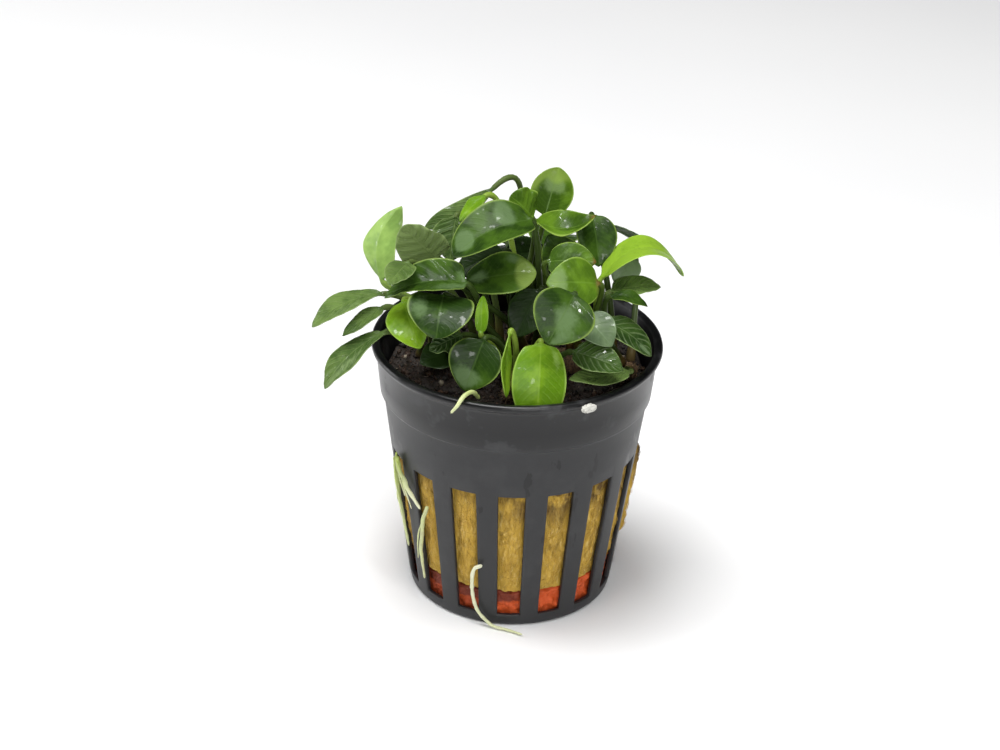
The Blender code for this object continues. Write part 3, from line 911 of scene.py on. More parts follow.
class Tone(Enum):
    """Tones of the leaves, each with its finish."""

    DARK = LeafFinish(
        name="leaf_dark",
        deep=(0.014, 0.036, 0.004),
        fresh=(0.048, 0.105, 0.009),
        vein=(0.080, 0.145, 0.032),
        rim=(0.240, 0.350, 0.070),
        sheen_and_underside=(0.115, 0.185, 0.075),
        stalk=(0.036, 0.062, 0.012),
    )
    # Near black copy of the leaf colour for leaves deep inside the crown: painted shade.
    SHADE = LeafFinish(
        name="leaf_shade",
        deep=(0.006, 0.014, 0.003),
        fresh=(0.015, 0.034, 0.006),
        vein=(0.022, 0.046, 0.011),
        rim=(0.036, 0.070, 0.018),
        sheen_and_underside=(0.026, 0.050, 0.015),
        stalk=(0.018, 0.030, 0.007),
        film_and_sheen=0.0,
    )
    VEINED = LeafFinish(
        name="leaf_veined",
        deep=(0.014, 0.036, 0.006),
        fresh=(0.042, 0.086, 0.014),
        vein=(0.210, 0.290, 0.130),
        rim=(0.260, 0.360, 0.130),
        sheen_and_underside=(0.140, 0.210, 0.100),
        stalk=(0.036, 0.062, 0.012),
        ribs=7.0,
        veined=0.4,
        relief=0.14,
    )
    GREEN = LeafFinish(
        name="leaf_green",
        deep=(0.036, 0.082, 0.006),
        fresh=(0.105, 0.205, 0.013),
        vein=(0.150, 0.270, 0.040),
        rim=(0.270, 0.400, 0.070),
        sheen_and_underside=(0.200, 0.300, 0.110),
        stalk=(0.066, 0.110, 0.016),
    )
    OLIVE = LeafFinish(
        name="leaf_olive",
        deep=(0.050, 0.094, 0.020),
        fresh=(0.125, 0.200, 0.048),
        vein=(0.200, 0.275, 0.095),
        rim=(0.230, 0.305, 0.115),
        sheen_and_underside=(0.195, 0.275, 0.110),
        stalk=(0.085, 0.125, 0.032),
        gloss=0.42,
        ribs=9.0,
        veined=0.28,
        relief=0.16,
    )
    LIME = LeafFinish(
        name="leaf_lime",
        deep=(0.105, 0.225, 0.008),
        fresh=(0.225, 0.390, 0.020),
        vein=(0.270, 0.430, 0.045),
        rim=(0.330, 0.500, 0.090),
        sheen_and_underside=(0.350, 0.520, 0.140),
        stalk=(0.220, 0.330, 0.045),
        gloss=0.3,
    )
    MINT = LeafFinish(
        name="leaf_mint",
        deep=(0.085, 0.185, 0.024),
        fresh=(0.270, 0.425, 0.090),
        vein=(0.260, 0.410, 0.090),
        rim=(0.420, 0.560, 0.200),
        sheen_and_underside=(0.370, 0.530, 0.160),
        stalk=(0.220, 0.330, 0.070),
        gloss=0.4,
        ribs=7.0,
    )
    SLATE = LeafFinish(
        name="leaf_slate",
        deep=(0.066, 0.104, 0.050),
        fresh=(0.130, 0.190, 0.090),
        vein=(0.160, 0.230, 0.130),
        rim=(0.220, 0.300, 0.165),
        sheen_and_underside=(0.175, 0.245, 0.135),
        stalk=(0.095, 0.135, 0.050),
    )


# The pot and what it holds


@dataclass
class Piece:
    """One finished mesh: how it is named, what it stands for and its finish."""

    name: str
    skin: Skin
    finish: bpy.types.Material
    nodes: tuple[str, ...]
    slot: str
    bevel: float = 0.0
    bevel_segments: int = 2
    bevel_angle: float = math.radians(50.0)

    def place(self) -> None:
        """Make the object, dress it and put it on the frame."""
        mesh = self.skin.mesh(self.name)
        mesh.materials.append(self.finish)
        piece = put(self.name, mesh)
        if self.bevel:
            rounded = piece.modifiers.new("rounded_edges", "BEVEL")
            rounded.width = self.bevel * MM
            rounded.segments = self.bevel_segments
            rounded.limit_method = "ANGLE"
            rounded.angle_limit = self.bevel_angle
        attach(piece, BODY)
        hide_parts(*self.nodes)
        LOG.info("%s: %d faces, stands for %s", self.name, len(mesh.polygons), ", ".join(self.nodes))


@dataclass(frozen=True)
class NetPot:
    """The slotted pot: its turned section, its slots and its drain openings.

    The profiles are offsets outwards and upwards: of the step from the foot of
    the collar, and of the lip from the rim's widest place and the pot's height.
    """

    slots: int = 16
    half_angle: float = math.radians(6.2)
    front: float = math.radians(-90.0)
    base_radius: float = 19.9
    shoulder_radius: float = 25.2
    shoulder: float = 41.5
    collar_radius: float = 25.8
    rim_radius: float = 27.5
    height: float = 52.0
    wall: float = 0.9
    floor: float = 1.2
    slot_bottom: float = 2.6
    slot_top: float = 31.1
    drain: tuple[float, float] = (8.0, 15.5)
    slot_steps: int = 6
    slot_rows: int = 8
    heel: float = 0.8
    heel_turns: tuple[float, ...] = (-90.0, -60.0, -30.0, 0.0)
    band_outside: tuple[float, ...] = (34.0, 38.0, 41.0)
    band_inside: float = 36.0
    step_outside: Offsets = ((-0.15, 0.2), (0.0, 0.55), (0.35, 4.0))
    step_inside: Offsets = ((0.5, 5.0), (0.0, 0.8), (-0.15, 0.35))
    lip_outside: Offsets = (
        (-0.95, -2.2), (-0.6, -1.45), (-0.12, -1.1), (0.0, -0.7), (-0.12, -0.25), (-0.5, 0.0),
    )
    lip_inside: Offsets = ((-1.0, -0.02), (-1.45, -0.18), (-1.7, -0.5))

    def outside(self, height: Array | float) -> Array | float:
        """Radius of the tapered wall's outside: linear in the height."""
        return self.base_radius + (self.shoulder_radius - self.base_radius) * height / self.shoulder

    def inside(self, height: Array | float) -> Array | float:
        """Radius of the tapered wall's inside."""
        return self.outside(height) - self.wall

    def angles(self) -> Array:
        """Angles of the columns: even steps over each slot, then over each rib."""
        period = TURN / self.slots
        over_slot = np.linspace(-self.half_angle, self.half_angle, self.slot_steps, endpoint=False)
        over_rib = np.linspace(self.half_angle, period - self.half_angle, self.slot_steps, endpoint=False)
        middles = self.front + np.arange(self.slots) * period
        return (middles[:, None] + np.concatenate([over_slot, over_rib])[None]).ravel()

    def section(self) -> tuple[Array, dict[str, Array]]:
        """Radius and height of each row, from under the floor over the lip to inside.

        Returns:
            The rows, and the row numbers of the two ends of each kind of opening:
            the outer rows and the inner rows that match them.
        """
        near, far = self.drain
        collar, step, rim, top = self.collar_radius, self.shoulder, self.rim_radius, self.height
        heights = np.linspace(self.slot_bottom, self.slot_top, self.slot_rows)
        outer = [(near, 0.0), (far, 0.0)]
        for turn in np.radians(self.heel_turns):
            reach = self.base_radius - self.heel + self.heel * math.cos(turn)
            outer.append((reach, self.heel + self.heel * math.sin(turn)))
        slot_start = len(outer)
        outer += [(self.outside(level), level) for level in (*heights, *self.band_outside)]
        outer.append((self.shoulder_radius + 0.1, step + 0.05))
        outer += [(collar + aside, step + up) for aside, up in self.step_outside]
        outer += [(rim + aside, top + up) for aside, up in self.lip_outside]
        inner = [(rim + aside, top + up) for aside, up in self.lip_inside]
        inner += [(collar - self.wall + aside, step + up) for aside, up in self.step_inside]
        inner.append((self.shoulder_radius - self.wall, step - 0.1))
        inner.append((self.inside(self.band_inside), self.band_inside))
        inner += [(self.inside(level), level) for level in heights[::-1]]
        inner_end = len(outer) + len(inner) - 1
        inner += [(self.inside(self.floor), self.floor), (far, self.floor), (near, self.floor)]
        rows = np.array(outer + inner)
        last = len(rows) - 1
        levels = np.arange(self.slot_rows)
        openings = {
            "drain": np.array([[0, 1], [last, last - 1]]),
            "slot": np.stack([slot_start + levels, inner_end - levels]),
        }
        return rows, openings

    def skin(self) -> Skin:
        """The turned surface with its openings left out and walled.

        A point is (radius cos angle, radius sin angle, height).  The quads over
        an opening are dropped, and its four sides join the outer to the inner row.

        Returns:
            The gathered surface.
        """
        rows, openings = self.section()
        angles = self.angles()
        columns = len(angles)
        grid = around(rows[:, :1], angles, rows[:, 1:])
        points = np.vstack([grid.reshape(-1, 3), [(0.0, 0.0, 0.0), (0.0, 0.0, self.floor)]])
        quads = grid_faces(len(rows), columns, True).reshape(len(rows) - 1, columns, 4)
        over_slot = np.arange(columns) % (2 * self.slot_steps) < self.slot_steps
        keep = np.ones((len(rows) - 1, columns), bool)
        for pair in openings.values():
            for line in pair:
                bands = np.arange(line.min(), line.max())
                keep[np.ix_(bands, over_slot)] = False
        sides = [quads[keep]]
        left = np.arange(0, columns, 2 * self.slot_steps)
        right = left + self.slot_steps
        slot_columns = np.flatnonzero(over_slot)
        for outer, inner in openings.values():
            sides += [
                self.sill(outer[0], inner[0], slot_columns, columns),
                self.sill(inner[-1], outer[-1], slot_columns, columns),
                self.jamb(outer, inner, left, columns),
                self.jamb(inner, outer, right, columns),
            ]
        under = fan_faces(np.arange(columns), len(points) - 2, False)
        over = fan_faces(np.arange(columns) + (len(rows) - 1) * columns, len(points) - 1, True)
        skin = Skin()
        skin.add(points, np.vstack(sides), np.vstack([under, over]), {})
        return skin

    @staticmethod
    def sill(first: int, second: int, slot_columns: Array, columns: int) -> Array:
        """Quads across the wall from one row to another under or over the slots."""
        after = slot_columns + 1
        corners = [first * columns + slot_columns, first * columns + after]
        corners += [second * columns + after, second * columns + slot_columns]
        return np.stack(corners, axis=-1)

    @staticmethod
    def jamb(outer: Array, inner: Array, side_columns: Array, columns: int) -> Array:
        """Quads across the wall along one side of the slots."""
        row, column = np.meshgrid(np.arange(len(outer) - 1), side_columns, indexing="ij")
        corners = [outer[row], inner[row], inner[row + 1], outer[row + 1]]
        return np.stack([corner * columns + column for corner in corners], axis=-1).reshape(-1, 4)

    def build(self) -> Piece:
        """The pot, dressed."""
        finish = PlasticFinish().paint()
        return Piece("net_pot", self.skin(), finish, ("pot",), "pot_plastic", bevel=0.2)


@dataclass(frozen=True)
class WoolPlug:
    """The wool: a cone inside the wall that swells out into each slot."""

    pot: NetPot
    bottom: float = 7.7
    top: float = 35.6
    gap: float = 0.55
    swell: float = 0.7
    swell_right: float = 2.3
    right_slot: int = 4
    neck: float = 33.5
    columns_per_slot: int = 20
    face_rows: int = 90
    fibres: int = 2600
    fibre_stations: int = 6
    fibre_circle: float = 23.0
    seed: int = 11

    def radius(self, angles: Array, heights: Array) -> Array:
        """Radius of the wool's face.

        The wall's inside less the gap, plus in each slot a swelling times a power
        of the cosine of the way from the slot's middle, plus fine lumps.

        Args:
            angles: Directions round the axis.
            heights: Heights in millimetres.

        Returns:
            The radius at each place.
        """
        period = TURN / self.pot.slots
        turned = (angles - self.pot.front) / period
        slot = np.round(turned)
        away = np.clip(np.abs(turned - slot) * period / self.pot.half_angle, 0.0, 1.0)
        at_right = slot.astype(int) % self.pot.slots == self.right_slot
        amount = np.where(at_right, self.swell_right, self.swell)
        amount = amount * (1.0 + 0.25 * np.sin(3.1 * slot))
        share = smooth_step(heights, self.bottom - 0.5, self.bottom + 3.5)
        share = share * (1.0 - smooth_step(heights, self.pot.slot_top - 2.5, self.pot.slot_top + 0.3))
        plain = self.pot.inside(heights) - self.gap
        places = around(plain, angles, 0.45 * heights)
        rough = 0.16 * Lumps(2.2, 3).at(places) + 0.10 * Lumps(0.8, 4).at(places)
        bulge = np.cos(0.5 * math.pi * away) ** 1.2
        return plain + amount * share * bulge + np.clip(rough, -0.35, 0.35)

    def places(self, angles: Array, heights: Array, proud: Array | float) -> Array:
        """Points on the wool's face, or proud of it."""
        return around(self.radius(angles, heights) + proud, angles, heights)

    def block(self) -> Skin:
        """The wool's face on a grid of angle and height, closed at both ends."""
        columns = self.columns_per_slot * self.pot.slots
        angles = self.pot.front + turn_steps(columns)
        face = np.linspace(self.bottom, self.pot.slot_top + 1.0, self.face_rows)
        heights = np.concatenate([face, [self.neck, self.top]])
        grid_angles, grid_heights = np.meshgrid(angles, heights)
        rings = self.places(grid_angles, grid_heights, 0.0)
        skin = Skin()
        ends = (np.array([0.0, 0.0, self.bottom]), np.array([0.0, 0.0, self.top]))
        skin.add_tube(rings, ends, {"tint": constant_paint(rings.shape[:2], (0.0, 0.0, 0.0))})
        return skin

    def loose_fibres(self, skin: Skin) -> None:
        """Lay thin fibres on the face in the slots, mostly upright.

        A fibre runs straight over the face in angle and height and stands off it
        by a low arch, sine of half a turn along it.

        Args:
            skin: The skin that they join.
        """
        source = np.random.default_rng(self.seed)
        count, stations = self.fibres, self.fibre_stations
        slot = source.integers(0, self.pot.slots, count)
        middle = self.pot.front + slot * TURN / self.pot.slots
        middle = middle + source.uniform(-0.95, 0.95, count) * self.pot.half_angle
        level = source.uniform(self.bottom + 0.5, self.pot.slot_top - 0.5, count)
        lean = source.normal(0.0, 0.55, count)
        length = source.uniform(1.2, 5.0, count)
        share = np.linspace(-0.5, 0.5, stations)[None]
        bend = source.normal(0.0, 0.25, count)[:, None] * (share**2)
        heights = level[:, None] + length[:, None] * share * np.cos(lean)[:, None]
        heights = np.clip(heights, self.bottom + 0.2, self.pot.slot_top - 0.2)
        aside = length[:, None] * (share * np.sin(lean)[:, None] + bend)
        angles = middle[:, None] + aside / self.fibre_circle
        proud = 0.02 + source.uniform(0.0, 0.28, count)[:, None] * np.cos(math.pi * share)
        paths = self.places(angles, heights, proud)
        radii = source.uniform(0.022, 0.05, count)[:, None] * (1.0 - 0.5 * np.abs(2.0 * share))
        tint = source.uniform(-0.6, 1.0, count)
        skin.add_strands(paths, radii, 3, {"tint": single_paint(tint)})

    def build(self) -> Piece:
        """The wool, dressed."""
        skin = self.block()
        self.loose_fibres(skin)
        return Piece("fibrous_wool", skin, WoolFinish().paint(), ("wool_plug",), "mineral_wool")


@dataclass(frozen=True)
class ClayDisc:
    """The red clay under the wool, with a ragged edge."""

    pot: NetPot
    bottom: float = 1.5
    top: float = 7.3
    gap: float = 0.55
    columns_per_slot: int = 22
    rows: int = 26
    edge_circle: float = 20.0
    seed: int = 21

    def build(self) -> Piece:
        """The clay on a grid of angle and height.

        The radius is the wall's inside less the gap plus lumps, and the top edge
        rises and falls by lumps of its own.

        Returns:
            The dressed piece.
        """
        columns = self.columns_per_slot * self.pot.slots
        angles = turn_steps(columns)
        share = np.linspace(0.0, 1.0, self.rows)[:, None]
        circle = around(self.edge_circle, angles, 0.0)
        edge = self.top - 0.15 + np.clip(0.22 * Lumps(2.4, self.seed).at(circle), -0.3, 0.3)
        heights = self.bottom + (edge[None] - self.bottom) * share
        plain = self.pot.inside(heights) - self.gap
        places = around(plain, angles, heights)
        rough = 0.22 * Lumps(1.7, self.seed + 1).at(places)
        rough = rough + 0.12 * Lumps(0.6, self.seed + 2).at(places)
        rings = around(plain + np.clip(rough, -0.4, 0.4), angles, heights)
        skin = Skin()
        ends = (np.array([0.0, 0.0, self.bottom]), np.array([0.0, 0.0, self.top - 0.1]))
        skin.add_tube(rings, ends, {})
        return Piece("rough_clay", skin, ClayFinish().paint(), ("clay_disc",), "red_clay")


@dataclass(frozen=True)
class SoilBed:
    """The peat: a lumpy bed with loose crumbs and dead fibres on it."""

    pot: NetPot
    bottom: float = 35.9
    top: float = 44.8
    edge: float = 24.45
    gap: float = 0.4
    waist: float = 40.5
    brink: float = 42.8
    columns: int = 260
    rows: int = 90
    crumbs: int = 2600
    threads: int = 320
    seed: int = 31

    def level(self, across: Array, ahead: Array) -> Array:
        """Height of the bed: its top plus lumps of three sizes.

        Args:
            across: Places along X.
            ahead: Places along Y.

        Returns:
            The height at each place.
        """
        places = np.stack([across, ahead, np.zeros_like(across)], axis=-1)
        lumps = 0.35 * Lumps(6.0, 5).at(places) + 0.22 * Lumps(2.2, 6).at(places)
        lumps = lumps + 0.12 * Lumps(0.9, 7).at(places)
        return self.top + np.clip(lumps, -0.8, 0.9)

    def bed(self) -> Skin:
        """The bed on a grid of angle and radius, with its hidden side wall."""
        angles = turn_steps(self.columns)
        shares = np.linspace(1.0, 0.02, self.rows)
        radius = self.edge * shares[:, None] * np.ones(self.columns)
        across, ahead = radius * np.cos(angles), radius * np.sin(angles)
        cover = np.stack([across, ahead, self.level(across, ahead)], axis=-1)
        walls = [
            around(self.pot.inside(height) - self.gap, angles, height) for height in (self.bottom, self.waist)
        ]
        walls.append(around(self.edge - 0.1, angles, self.brink))
        rings = np.concatenate([np.array(walls), cover])
        skin = Skin()
        middle = float(self.level(np.zeros(1), np.zeros(1))[0])
        ends = (np.array([0.0, 0.0, self.bottom]), np.array([0.0, 0.0, middle]))
        skin.add_tube(rings, ends, {"tint": constant_paint(rings.shape[:2], (0.12, 0.0, 0.0))})
        return skin

    def spread(self, source: np.random.Generator, count: int) -> tuple[Array, Array]:
        """Random places over the bed, as many near its edge as its area asks."""
        radius = (self.edge - 0.4) * np.sqrt(source.uniform(0.02, 1.0, count))
        angle = source.uniform(0.0, TURN, count)
        return radius * np.cos(angle), radius * np.sin(angle)

    def loose_crumbs(self, skin: Skin) -> None:
        """Scatter crumbs over the bed, half sunk in it."""
        source = np.random.default_rng(self.seed)
        across, ahead = self.spread(source, self.crumbs)
        size = 0.18 + 0.55 * source.uniform(0.0, 1.0, self.crumbs) ** 3
        sizes = size[:, None] * source.uniform(0.6, 1.25, (self.crumbs, 3))
        places = np.stack([across, ahead, self.level(across, ahead) + 0.35 * size], axis=-1)
        tint = source.uniform(0.0, 1.0, self.crumbs) ** 2.2
        skin.add_crumbs(places, sizes, self.seed + 1, {"tint": single_paint(tint)})

    def loose_threads(self, skin: Skin) -> None:
        """Lay dead fibres over the bed: short lines that bow upwards."""
        source = np.random.default_rng(self.seed + 2)
        across, ahead = self.spread(source, self.threads)
        across, ahead = 0.95 * across, 0.95 * ahead
        turn = source.uniform(0.0, TURN, self.threads)
        length = source.uniform(1.0, 3.6, self.threads)
        share = np.linspace(-0.5, 0.5, 6)[None]
        wander = source.normal(0.0, 0.9, self.threads)[:, None] * share**2
        cosine, sine = np.cos(turn)[:, None], np.sin(turn)[:, None]
        x = across[:, None] + length[:, None] * (share * cosine - wander * sine)
        y = ahead[:, None] + length[:, None] * (share * sine + wander * cosine)
        rise = source.uniform(0.1, 0.7, self.threads)[:, None] * np.cos(math.pi * share)
        paths = np.stack([x, y, self.level(x, y) + 0.05 + rise], axis=-1)
        radii = source.uniform(0.04, 0.09, self.threads)[:, None] * (1.1 - np.abs(2.0 * share))
        tint = source.uniform(0.1, 1.0, self.threads)
        skin.add_strands(paths, radii, 4, {"tint": single_paint(tint)})

    def build(self) -> Piece:
        """The bed with its crumbs and threads, dressed."""
        skin = self.bed()
        self.loose_crumbs(skin)
        self.loose_threads(skin)
        return Piece("peat_bed", skin, PeatFinish().paint(), ("soil",), "peat")


# The plant


class Stem(Enum):
    """The rhizome and its two forks: node, radii along it and stops of its axis."""

    MAIN = ("rhizome", (1.98, 2.3, 2.3, 1.6), (
        (22.6, -5.0, 48.2),
        (15.0, -1.5, 47.5),
        (4.0, 0.8, 47.5),
        (-8.0, 0.5, 47.5),
        (-18.5, -2.0, 48.0),
    ))
    FRONT = ("rhizome_front_fork", (1.84, 1.95, 1.5), (
        (3.0, -3.1, 47.5),
        (2.0, -9.5, 47.5),
        (-1.5, -15.5, 47.8),
    ))
    BACK = ("rhizome_back_fork", (1.84, 1.95, 1.5), (
        (-1.0, 4.2, 47.5),
        (1.0, 10.5, 47.5),
        (4.0, 17.0, 47.8),
    ))

    @property
    def node(self) -> str:
        """Name of the solid."""
        return self.value[0]

    @property
    def radii(self) -> tuple[float, ...]:
        """Radii at even steps along the axis."""
        return self.value[1]

    @property
    def stops(self) -> tuple[Point, ...]:
        """Places that the axis passes."""
        return self.value[2]


@dataclass(frozen=True)
class Rhizome:
    """One creeping stem: a lumpy ringed tube with rounded ends and fuzz."""

    stem: Stem
    hairs: int = 700
    seed: int = 41
    rings: int = 110
    sides: int = 30
    ring_gap: float = 1.7
    scar: float = 0.10

    def build(self) -> Piece:
        """The stem on a grid of the way along and the angle round.

        The radius is the given one times a round end, which is the root of one
        minus the fourteenth power of the way from the middle to the end.  Ring
        scars, a sharp sine of the length, are taken off and lumps are added.

        Returns:
            The dressed piece.
        """
        along = 0.5 - 0.5 * np.cos(np.linspace(0.04, math.pi - 0.04, self.rings))
        points, tangents = route(self.stem.stops, along)
        given = np.interp(along, np.linspace(0.0, 1.0, len(self.stem.radii)), self.stem.radii)
        rounded = np.sqrt(1.0 - np.abs(2.0 * along - 1.0) ** 14)
        length = float(np.linalg.norm(np.diff(points, axis=0), axis=1).sum())
        scars = self.scar * np.abs(np.sin(math.pi * along * length / self.ring_gap)) ** 6
        radii = (given * rounded - scars * rounded)[:, None] * np.ones(self.sides)
        across = carried(np.array([0.0, 0.0, 1.0]), tangents)
        smooth = round_rings(points, tangents, across, radii, self.sides)
        radii = radii + np.clip(0.16 * Lumps(2.4, self.seed).at(smooth), -0.25, 0.25)
        rings = round_rings(points, tangents, across, radii, self.sides)
        paint = single_paint((along * length)[:, None] * np.ones(self.sides))
        skin = Skin()
        ends = (points[0] - 0.15 * tangents[0], points[-1] + 0.15 * tangents[-1])
        skin.add_tube(rings, ends, {"tint": paint})
        self.fuzz(skin, rings, points)
        name = self.stem.node + "_skin"
        return Piece(name, skin, BarkFinish(name=name).paint(), (self.stem.node,), "rhizome_skin")

    def fuzz(self, skin: Skin, rings: Array, points: Array) -> None:
        """Set short curved hairs on the stem.

        A hair leaves along the surface's own outward direction and droops by the
        square of the way along it.

        Args:
            skin: The skin that they join.
            rings: The stem's surface.
            points: The stem's axis.
        """
        source = np.random.default_rng(self.seed + 1)
        row = source.integers(2, self.rings - 2, self.hairs)
        side = source.integers(0, self.sides, self.hairs)
        roots = rings[row, side]
        away = unit(roots - points[row])
        drift = source.normal(0.0, 0.5, (self.hairs, 3))
        length = source.uniform(0.3, 1.3, self.hairs)[:, None, None]
        share = np.linspace(0.0, 1.0, 4)[None, :, None]
        droop = np.array([0.0, 0.0, -0.35])
        paths = roots[:, None] + length * (away[:, None] * share + (drift[:, None] * 0.5 + droop) * share**2)
        radii = 0.045 * (1.0 - 0.8 * share[..., 0]) * np.ones((self.hairs, 1))
        tint = source.uniform(0.2, 1.0, self.hairs)
        skin.add_strands(paths, radii, 3, {"tint": single_paint(tint, 1)})


@dataclass(frozen=True)
class Root:
    """One root: its radius, the places it passes and how white its two ends are."""

    name: str
    radius: float
    stops: tuple[Point, ...]
    white: tuple[float, float]
    age: float = 0.0
    branches: tuple[tuple[Point, ...], ...] = ()
    branch_share: float = 0.42
    stations: int = 72
    sides: int = 12

    def thread(self, skin: Skin, stops: tuple[Point, ...], radius: float, seed: int) -> None:
        """Add one winding thread with a rounded, thinning tip.

        The radius is the given one times one plus lumps and falls to 0.6 of it
        at the tip, and the path wanders by a small smooth random field.

        Args:
            skin: The skin that it joins.
            stops: Places that it passes.
            radius: Its radius in millimetres.
            seed: Seed of its wander.
        """
        along = np.linspace(0.0, 1.0, self.stations)
        points, tangents = route(stops, along)
        wander = np.stack([Lumps(3.5, seed + step).at(points) for step in range(3)], axis=-1)
        points = points + 0.22 * radius * wander * np.sin(math.pi * along)[:, None]
        uneven = 1.0 + 0.10 * Lumps(1.6, seed + 3).at(points)
        rounded = np.sqrt(np.clip(1.0 - np.abs(2.0 * along - 1.0) ** 40, 0.05, 1.0))
        radii = radius * (1.0 - 0.4 * smooth_step(along, 0.5, 1.0)) * uneven * rounded
        across = carried(np.array([0.3, 0.2, 0.9]), tangents)
        rings = round_rings(points, tangents, across, radii, self.sides)
        paint = constant_paint(rings.shape[:2], (0.0, self.age, 0.0))
        paint[..., 0] = np.interp(along, (0.0, 1.0), self.white)[:, None]
        ends = (points[0] - 0.3 * radius * tangents[0], points[-1] + 0.3 * radius * tangents[-1])
        skin.add_tube(rings, ends, {"tint": paint})

    def build(self, finish: bpy.types.Material) -> Piece:
        """The root and its thin branches, dressed."""
        skin = Skin()
        self.thread(skin, self.stops, self.radius, 50)
        for number, branch in enumerate(self.branches):
            self.thread(skin, branch, self.branch_share * self.radius, 60 + 5 * number)
        return Piece(self.name + "_skin", skin, finish, (self.name,), "root_skin")


ROOTS = (
    Root(
        "root_left_long", 0.42,
        ((-22.4, -10.4, 31.2), (-21.9, -10.6, 26.8), (-21.3, -10.4, 21.6), (-19.6, -10.8, 11.6)),
        white=(0.1, 0.5),
        branches=(
            ((-22.3, -10.6, 30.5), (-22.2, -11.6, 27.0), (-21.5, -11.7, 23.0), (-20.6, -11.2, 17.5)),
            ((-22.2, -10.0, 31.5), (-22.4, -9.4, 27.0), (-21.6, -9.7, 22.0), (-20.9, -9.9, 18.0)),
        ),
    ),
    Root(
        "root_left_tip", 0.45,
        ((-21.9, -12.3, 32.4), (-21.3, -12.2, 29.4), (-19.4, -14.6, 26.4), (-17.2, -16.3, 23.4)),
        white=(0.0, 0.9),
        branches=(
            ((-22.0, -12.4, 31.8), (-21.0, -13.4, 29.0), (-19.9, -14.3, 25.4), (-18.9, -15.0, 22.6)),
            ((-22.0, -11.8, 33.0), (-21.9, -11.6, 30.0), (-20.9, -13.0, 26.6), (-20.2, -13.4, 24.4)),
        ),
    ),
    Root(
        "root_left_down", 0.38,
        ((-15.8, -17.2, 24.6), (-16.7, -16.6, 20.5), (-17.0, -14.9, 13.5), (-16.3, -14.3, 6.5)),
        white=(0.4, 0.6),
        age=0.25,
        branches=(((-16.6, -16.7, 21.5), (-17.6, -15.4, 17.0), (-17.6, -14.2, 11.0)),),
    ),
    Root(
        "root_front", 0.36,
        (
            (-5.2, -22.0, 15.0),
            (-6.8, -21.6, 13.5),
            (-6.9, -20.8, 8.2),
            (-6.0, -20.5, 4.0),
            (-3.4, -20.9, 0.9),
            (0.0, -22.0, 0.5),
            (2.8, -23.4, 0.5),
        ),
        white=(0.9, 0.55),
    ),
    Root(
        "root_rim", 0.4,
        (
            (-6.5, -21.5, 50.5),
            (-7.6, -23.8, 52.9),
            (-9.0, -25.6, 53.1),
            (-10.3, -26.9, 51.8),
            (-11.3, -27.1, 50.4),
        ),
        white=(0.15, 0.6),
    ),
)


@dataclass(frozen=True)
class PerliteGrain:
    """The white grain on the rim: a lumpy ellipsoid."""

    place: Point = (13.1, -25.5, 51.4)
    size: Point = (1.45, 0.65, 0.85)
    turn: float = math.radians(27.0)
    parallels: int = 34
    meridians: int = 48

    def build(self) -> Piece:
        """The grain on a grid of latitude and longitude.

        A point is the size times (sine latitude cosine longitude, sine latitude
        sine longitude, cosine latitude) times one plus lumps, then turned.

        Returns:
            The dressed piece.
        """
        latitude = np.linspace(math.pi, 0.0, self.parallels)[1:-1][:, None]
        longitude = turn_steps(self.meridians)[None]
        ball = np.stack([
            np.sin(latitude) * np.cos(longitude),
            np.sin(latitude) * np.sin(longitude),
            np.cos(latitude) * np.ones_like(longitude),
        ], axis=-1)
        lumps = 0.10 * Lumps(0.9, 71).at(ball) + 0.05 * Lumps(0.35, 72).at(ball)
        uneven = 1.0 + np.clip(lumps, -0.2, 0.12)
        rings = ball * uneven[..., None] * np.array(self.size)
        turned = np.array([
            (math.cos(self.turn), math.sin(self.turn), 0.0),
            (-math.sin(self.turn), math.cos(self.turn), 0.0),
            (0.0, 0.0, 1.0),
        ])
        rings = rings @ turned + np.array(self.place)
        top = np.array([0.0, 0.0, self.size[2]])
        skin = Skin()
        skin.add_tube(rings, (np.array(self.place) - top, np.array(self.place) + top), {})
        return Piece("chalky_grain", skin, GrainFinish().paint(), ("perlite_grain",), "perlite")


class Mark(Enum):
    """What a spot changes: paler or deeper, browner, or more painted sheen, a pale reflection."""

    PALE = 0
    BROWN = 1
    WAXY = 2


@dataclass(frozen=True)
class Spot:
    """A soft patch on a blade: its place, its reach and how strong it is."""

    mark: Mark
    along: float
    across: float
    reach_along: float
    reach_across: float
    amount: float


@dataclass(frozen=True)
class Look:
    """How one leaf differs from the plain one of its tone."""

    tone: Tone
    pleat: float = 0.03
    ribs: float = 6.0
    wave: float = 0.15
    waves: float = 1.6
    curl: float = 0.0
    pale: float = 0.0
    spots: tuple[Spot, ...] = ()


@dataclass(frozen=True)
class Leaf:
    """One blade with its petiole, as the solids have it; places in millimetres.

    The bow and the sway bend the midrib out of the straight line, towards the
    upper face and towards the side.  The cup is the rise of the blade's edges
    as a share of its half width.  The lift and the reach are the shares of the
    petiole's span over which it leaves the rhizome and meets the blade.  The
    blade is widest at the share of its length called broad, and the larger full
    is, the blunter are its ends.
    """

    name: str
    stem: Stem
    along: float
    base: Point
    tip: Point
    width: float
    face: Point
    bow: float
    sway: float = 0.0
    cup: float = 0.15
    lift: float = 0.45
    reach: float = 0.16
    broad: float = 0.42
    full: float = 0.0


MAIN, FRONT, BACK = Stem

